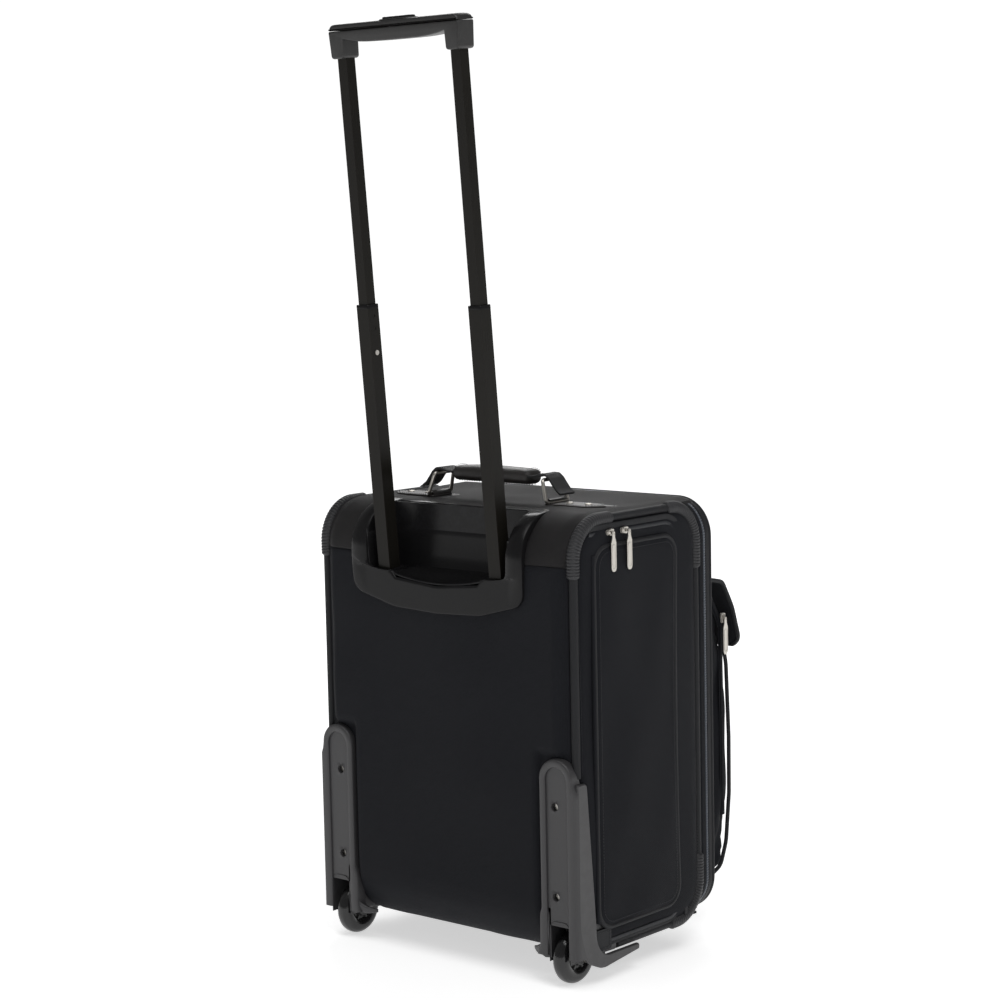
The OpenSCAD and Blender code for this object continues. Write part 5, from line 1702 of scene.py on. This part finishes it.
@dataclass
class FrontCover:
    """The padded cover that closes the front, with its bellows pocket and the flap over that."""

    back_y: float = -229.2
    pocket_back: float = -240.6
    pocket_front: float = -302.3
    pocket_half: float = 157.5
    hinge: tuple[float, float] = (-242.8, 401.0)
    zips: Zips = field(default_factory=Zips)

    def put(self, flat: Array, height: Array) -> Array:
        """Carries (x, z) and a height onto the cover."""
        return np.stack([flat[:, 0], self.back_y - height, flat[:, 1]], -1)

    def rim(self, inset: float) -> Array:
        """Outline of the cover, inset."""
        return round_rect((-179 + inset, 31 + inset), (179 - inset, 493 - inset), 41 - inset, 14, 44)

    def pad(self, shop: Shop) -> None:
        """The cover: outer face, rolled edge, and a hollow lined inside."""
        roll = [(8.0, 0.0), (0.6, 0.0), (0.0, 1.2), (0.0, 6.5), (0.4, 8.6), (1.6, 10.0), (4.0, 10.7),
                (9.0, 11.0), (16.0, 11.1)]
        face = cushion(self.rim, self.put, roll, 0.2, 26, 2.2, wrinkle=ripple(31, 110, 0.5))
        hollow = cushion(self.rim, self.put, [(8.0, 0.0), (8.6, 1.0), (9.0, 4.8), (12.0, 5.4)], 0.0, 16,
                         flip=True)
        shop.store("cover_pad", Patch.join([face, hollow]), "cover", CLOTH, ["front_cover"],
                   turn_out=True)
        line = resample(self.rim(1.3), 2.0, closed=True)
        shop.store("cover_piping", sweep(lifted(line, self.put, 9.4), circle(2.6, 14), vec(0, -1, 0),
                   closed=True), "cover", BINDING)
        edge = resample(self.rim(-0.3), 3.0, closed=True)
        shop.store("cover_zip_tape", sweep(lifted(edge, self.put, 3.4),
                   round_rect((-0.5, -3.0), (0.5, 3.0), 0.4, 3, 3), vec(0, 1, 0), closed=True), "cover",
                   BINDING)
        for inset, height in ((5.4, 11.1), (9.0, 11.2)):
            row = resample(self.rim(inset), 2.0, closed=True)
            shop.store(f"cover_stitches_{int(inset)}", stitches(lifted(row, self.put, height),
                       vec(0, -1, 0)), "cover", THREAD, weld=False)

    def profile(self) -> Array:
        """The pocket seen from the side: full in the middle, slumped below, sloped above."""
        f = self.pocket_front
        return fillet([(self.pocket_back, 60), (f + 40, 60), (f + 17, 69), (f + 6, 95), (f - 0.5, 150),
                       (f - 1, 215), (f + 3, 300), (f + 15, 345), (f + 34, 382), (self.pocket_back, 388)],
                      [1, 14, 16, 40, 60, 90, 60, 30, 14, 1], True, 6)

    def pocket(self, shop: Shop) -> None:
        """The pocket: the profile carried across with round ends, folds in its sides and slumped cloth."""
        flat = resample(self.profile(), 4.0, closed=True)
        turn = np.roll(flat, -1, 0) - np.roll(flat, 1, 0)
        out = unit(np.stack([turn[:, 1], -turn[:, 0]], -1))
        if (out[:, 0] * (flat[:, 0] - flat[:, 0].mean())).sum() < 0:
            out = -out
        free = smooth((self.pocket_back - 4 - flat[:, 0]) / 10)[:, None]
        middle = flat.mean(0)
        rows = []
        half = self.pocket_half
        ends = [(half - 1.5 - 6.0 * k, 1 - k) for k in np.linspace(0.98, 0.25, 10)]
        sides = [(half - 0.2 * n, inset)
                 for n, inset in ((0, 9.0), (0, 6.0), (0.5, 3.6), (3, 1.6), (9, 0.5))]
        for x, k in ends:
            rows.append((x, middle + (flat - out * 9 * free - middle) * k, 0.4))
        for x, inset in sides:
            rows.append((x, flat - out * inset * free, 0.7))
        for x in np.linspace(half - 8, -half + 8, 66):
            rows.append((x, flat + out * free * (1.2 * math.cos(x / half * 1.4)), 1.0))
        for x, inset in reversed(sides):
            rows.append((-x, flat - out * inset * free, 0.7))
        for x, k in reversed(ends):
            rows.append((-x, middle + (flat - out * 9 * free - middle) * k, 0.4))
        points = np.array([at_x(p, x) for x, p, _ in rows])
        amount = np.array([a for _, _, a in rows])[:, None]
        low = smooth((190 - points[..., 2]) / 120)
        wave = ripple(41, 46, 1.5, 0.7)(np.stack([points[..., 0], points[..., 1] + points[..., 2]], -1))
        crease = 2.2 * low * np.sin(points[..., 2] / 7.2 + 0.7 * np.sin(points[..., 0] / 31)
                                    + points[..., 1] / 19)
        push = (wave * (0.5 + low) + crease) * amount * free[None, :, 0]
        points[..., 1] += push * out[None, :, 0]
        points[..., 2] += push * out[None, :, 1]
        side = np.abs(points[..., 0]) > half - 9
        gusset = 3.5 * np.exp(-((points[..., 1] + 272 + 0.12 * (points[..., 2] - 200)) / 7.0) ** 2)
        fold = gusset + 1.6 * np.sin(points[..., 2] / 13 + points[..., 1] / 9) * (0.35 + low)
        points[..., 0] -= np.sign(points[..., 0]) * side * fold
        made = grid(points, close_v=True).capped(len(flat))
        piece = shop.store("pocket_bellows", made, "cover", CLOTH, ["front_pocket"],
                           turn_out=True)
        back = (self.pocket_back - 3 + BACK_PLANE) * MM
        puff(piece, 3.2, 4.6, 2.5, pinned=lambda p: (p[:, 1] > back) * 1.0)
        piece.data.polygons.foreach_set("use_smooth", np.ones(len(piece.data.polygons), bool))
        fine = piece.modifiers.new("subdivision", "SUBSURF")
        fine.levels = fine.render_levels = 1
        rim = resample(self.profile(), 2.0, closed=True)
        rim = rim[rim[:, 0] < self.pocket_back - 3]
        start = int(np.argmax(np.linalg.norm(np.diff(rim, axis=0, append=rim[:1]), axis=1))) + 1
        rim = np.roll(rim, -start, 0)
        beads = [sweep(at_x(rim, s * (half - 2.2)), circle(2.3, 12), vec(1, 0, 0)) for s in (1, -1)]
        shop.store("pocket_edge_binding", Patch.join(beads), "cover", BINDING)

    def pocket_zip(self, shop: Shop) -> None:
        """A zip down each side of the pocket, with its slider and pull on the right."""
        z = np.linspace(372, 128, 80)
        y = np.interp(z, [128, 235, 308, 345, 372], [-287, -287, -286, -286, -270])
        for s, name in SIDES:
            line = np.stack([np.full(80, s * 158.9), y, z], -1)
            out = vec(s, 0, 0)
            shop.store(f"pocket_zip_{name}", Patch.join([self.zips.coil(line - out * 1.0, out),
                       self.zips.tape(line - out * 1.6, out, 4.0)]), "cover", CLOTH)
        at = vec(-159.8, -285.8, 353.0)
        pin = sweep(np.array([vec(-162.4, -287.3, 353), vec(-162.4, -284.3, 353)]) + vec(-2.4, 0, 0),
                    circle(0.8, 10), vec(1, 0, 0))
        slider = self.zips.slider(at, vec(0, 0, 1), vec(-1, 0, 0))
        shop.store("pocket_slider_body", Patch.join([slider, pin]), "pocket_zip", NICKEL,
                   ["pocket_slider"])
        shop.store("pocket_pull_tag", self.zips.pull(vec(-164.8, -285.8, 353), vec(0, 1, 0), vec(-1, 0, 0)),
                   "pocket_zip_pull", NICKEL, ["pocket_pull"])
        at = vec(180.2, -234.5, 300.0)
        pin = sweep(np.array([vec(185.2, -236, 300), vec(185.2, -233, 300)]), circle(0.8, 10), vec(1, 0, 0))
        slider = self.zips.slider(at, vec(0, 0, 1), vec(1, 0, 0))
        shop.store("main_slider_body", Patch.join([slider, pin]), "main_zip", NICKEL, ["main_slider"])
        shop.store("main_pull_tag", self.zips.pull(vec(185.9, -234.5, 300), vec(0, -1, 0), vec(1, 0, 0)),
                   "main_zip_pull", NICKEL, ["main_pull"])

    def flap(self, shop: Shop) -> None:
        """The flap: a profile carried across, P = Q(u) + n w(u, x), its free corners rounded."""
        curve = fillet([(-242.6, 401), (-264, 400), (-284, 395.5), (-302.5, 364), (-321, 318)],
                       [0, 30, 12, 60, 0], steps=8)
        line = resample(curve, 2.4)
        turn = unit(np.gradient(line, axis=0))
        out = np.stack([turn[:, 1], -turn[:, 0]], -1)
        out = out * np.sign(out[len(out) // 2] @ vec(-1, 1))
        run = np.linspace(0, 1, len(line))
        v = np.linspace(-1, 1, 97)
        half = 163.0 - 12 * np.clip((run - 0.84) / 0.16, 0, 1) ** 3
        x = half[:, None] * v[None, :]
        wave = ripple(51, 70, 1.3, 0.8)(np.stack([x, np.repeat(run[:, None] * 90, 97, 1)], -1))
        puffed = 1.8 * np.sin(math.pi * run)[:, None] * (1 - v[None, :] ** 6)
        loose = (0.4 + 0.9 * run[:, None]) * wave * smooth(run[:, None] / 0.15)
        y = line[:, :1] + out[:, :1] * (loose * 0.7 + puffed)
        z = line[:, 1:] + out[:, 1:] * (loose * 0.7 + puffed)
        upper = np.stack([x, y, z], -1)
        lift = np.stack([0 * out[:, 0], out[:, 0], out[:, 1]], -1)[:, None]
        under = upper - lift * 3.0
        made = [grid(upper), grid(under, flip=True)]
        for edge, low in ((upper[:, 0], under[:, 0]), (upper[:, -1], under[:, -1]), (upper[0], under[0]),
                          (upper[-1], under[-1])):
            made.append(grid(np.stack([edge, low])))
        shop.store("flap_pad", Patch.join(made), "flap", CLOTH, ["pocket_flap"], turn_out=True)
        sink = np.concatenate([lift[4:, 0], np.repeat(lift[-1:, 0], 95, 0), lift[4:, 0][::-1]]) * 1.5
        loop = np.concatenate([upper[4:, 0], upper[-1, 1:-1], upper[4:, -1][::-1]]) - sink
        tube = resample(loop, 2.0)
        shop.store("flap_binding", sweep(tube, circle(2.3, 12), vec(0, -0.6, 0.8)), "flap", BINDING)
        inner = np.concatenate([upper[6:-5, 3], upper[-6, 4:-4], upper[6:-5, -4][::-1]])
        up = np.concatenate([lift[6:-5, 0], np.repeat(lift[-6:-5, 0], 89, 0), lift[6:-5, 0][::-1]])
        rows = stitches(inner + up * 0.1, unit(up))
        shop.store("flap_stitches", rows, "flap", THREAD, weld=False)
        fold = np.stack([np.linspace(-162, 162, 60), np.full(60, self.hinge[0]),
                         np.full(60, self.hinge[1])], -1)
        shop.store("flap_hinge_fold", sweep(fold, circle(2.3, 12), vec(0, 0, 1)), "flap", CLOTH)

    def build(self, shop: Shop) -> None:
        """Builds the cover and what is on it."""
        self.pad(shop)
        self.pocket(shop)
        self.pocket_zip(shop)
        self.flap(shop)


# ---- studio ----------------------------------------------------------------------------------

@dataclass
class Studio:
    """The pale floor, the soft lights and the camera."""

    azimuth: float = 220.87
    elevation: float = 6.67
    roll: float = 1.19
    distance: float = 2.69517
    target: tuple[float, float, float] = (0.0, -100.0, 480.0)
    lens: float = 88.405
    shift: tuple[float, float] = (-0.00253, 0.01313)

    def camera(self) -> None:
        """A camera that looks at the target from its azimuth, elevation and distance."""
        a, e, r = (math.radians(k) for k in (self.azimuth, self.elevation, self.roll))
        back = Vector((math.sin(a) * math.cos(e), -math.cos(a) * math.cos(e), math.sin(e)))
        right = (-back).cross(Vector((0, 0, 1))).normalized()
        up = right.cross(-back)
        right, up = (math.cos(r) * right - math.sin(r) * up, math.sin(r) * right + math.cos(r) * up)
        x, y, z = self.target
        place = Vector((x, y + BACK_PLANE, z)) * MM + back * self.distance
        data = bpy.data.cameras.new("camera")
        data.lens, data.sensor_width, data.clip_end = self.lens, 36.0, 100
        data.shift_x, data.shift_y = self.shift
        made = bpy.data.objects.new("camera", data)
        turn = Matrix((right, up, back)).transposed().to_4x4()
        made.matrix_world = Matrix.Translation(place) @ turn
        bpy.context.scene.collection.objects.link(made)
        bpy.context.scene.camera = made

    def light(self, name: str, azimuth: float, height: float, far: float, size: float,
              power: float) -> None:
        """A square area light that looks at the middle of the case.

        Args:
            name: Its name.
            azimuth: Direction that it stands in, in degrees.
            height: Its height in metres.
            far: Its distance from the upright axis in metres.
            size: Side of the square in metres.
            power: Its power in watts.
        """
        data = bpy.data.lights.new(name, "AREA")
        data.shape, data.size, data.energy = "SQUARE", size, power
        made = bpy.data.objects.new(name, data)
        a = math.radians(azimuth)
        place = Vector((math.sin(a) * far, -math.cos(a) * far, height))
        made.location = place
        made.rotation_euler = (place - Vector((0, 0, 0.45))).to_track_quat("Z", "Y").to_euler()
        bpy.context.scene.collection.objects.link(made)

    def floor(self) -> None:
        """A wide pale floor."""
        mesh = bpy.data.meshes.new("floor")
        mesh.from_pydata([(-30, -30, 0), (30, -30, 0), (30, 30, 0), (-30, 30, 0)], [], [(0, 1, 2, 3)])
        piece = bpy.data.objects.new("floor", mesh)
        m = bpy.data.materials.new("pale_floor")
        m.use_nodes = True
        t = Tree(m.node_tree)
        haze = t.span(t.noise(3.0, 3), 0.3, 0.7, 0.0, 1.0)
        place = t.put("TexCoord").outputs["Object"]
        away = t.put("VectorMath", {"operation": "LENGTH"})
        t.feed(away.inputs[0], place)
        glow = t.span(away.outputs["Value"], 0.9, 2.6, 0.58, 0.95)
        color = t.mix(haze, (0.93, 0.93, 0.93), (0.96, 0.96, 0.96))
        shader = t.put("BsdfPrincipled", None, Base_Color=color, Roughness=0.6, Specular_IOR_Level=0.2,
                       Emission_Color=(1.0, 1.0, 1.0), Emission_Strength=glow)
        out = t.put("OutputMaterial")
        t.feed(out.inputs["Surface"], shader.outputs[0])
        mesh.materials.append(m)
        bpy.context.scene.collection.objects.link(piece)

    def build(self) -> None:
        """Sets the whole stage."""
        world = bpy.data.worlds.new("white_room")
        world.use_nodes = True
        t = Tree(world.node_tree)
        seen = t.put("LightPath").outputs["Is Camera Ray"]
        bright = t.span(seen, 0.0, 1.0, 0.2, 1.05)
        sky = t.put("Background", None, Color=(1.0, 1.0, 1.0), Strength=bright)
        out = t.put("OutputWorld")
        t.feed(out.inputs["Surface"], sky.outputs[0])
        scene = bpy.context.scene
        scene.world = world
        scene.view_settings.view_transform = "Standard"
        scene.view_settings.look = "None"
        self.floor()
        self.light("key_light", 245, 2.7, 1.7, 1.3, 22)
        self.light("rim_light", 35, 2.0, 2.2, 1.6, 26)
        self.light("top_light", 190, 3.2, 1.0, 1.6, 16)
        self.camera()


def main() -> None:
    """Builds the stage and the case, one sub-assembly after another."""
    Studio().build()
    shop = Shop()
    for part in (PaddedBody(), Trolley(), Running(), CarryHandle(), SideDoor(), FrontCover()):
        part.build(shop)
    log.info("sizes written")


if __name__ == "__main__":
    logging.basicConfig(level=logging.INFO, format="%(message)s")
    main()
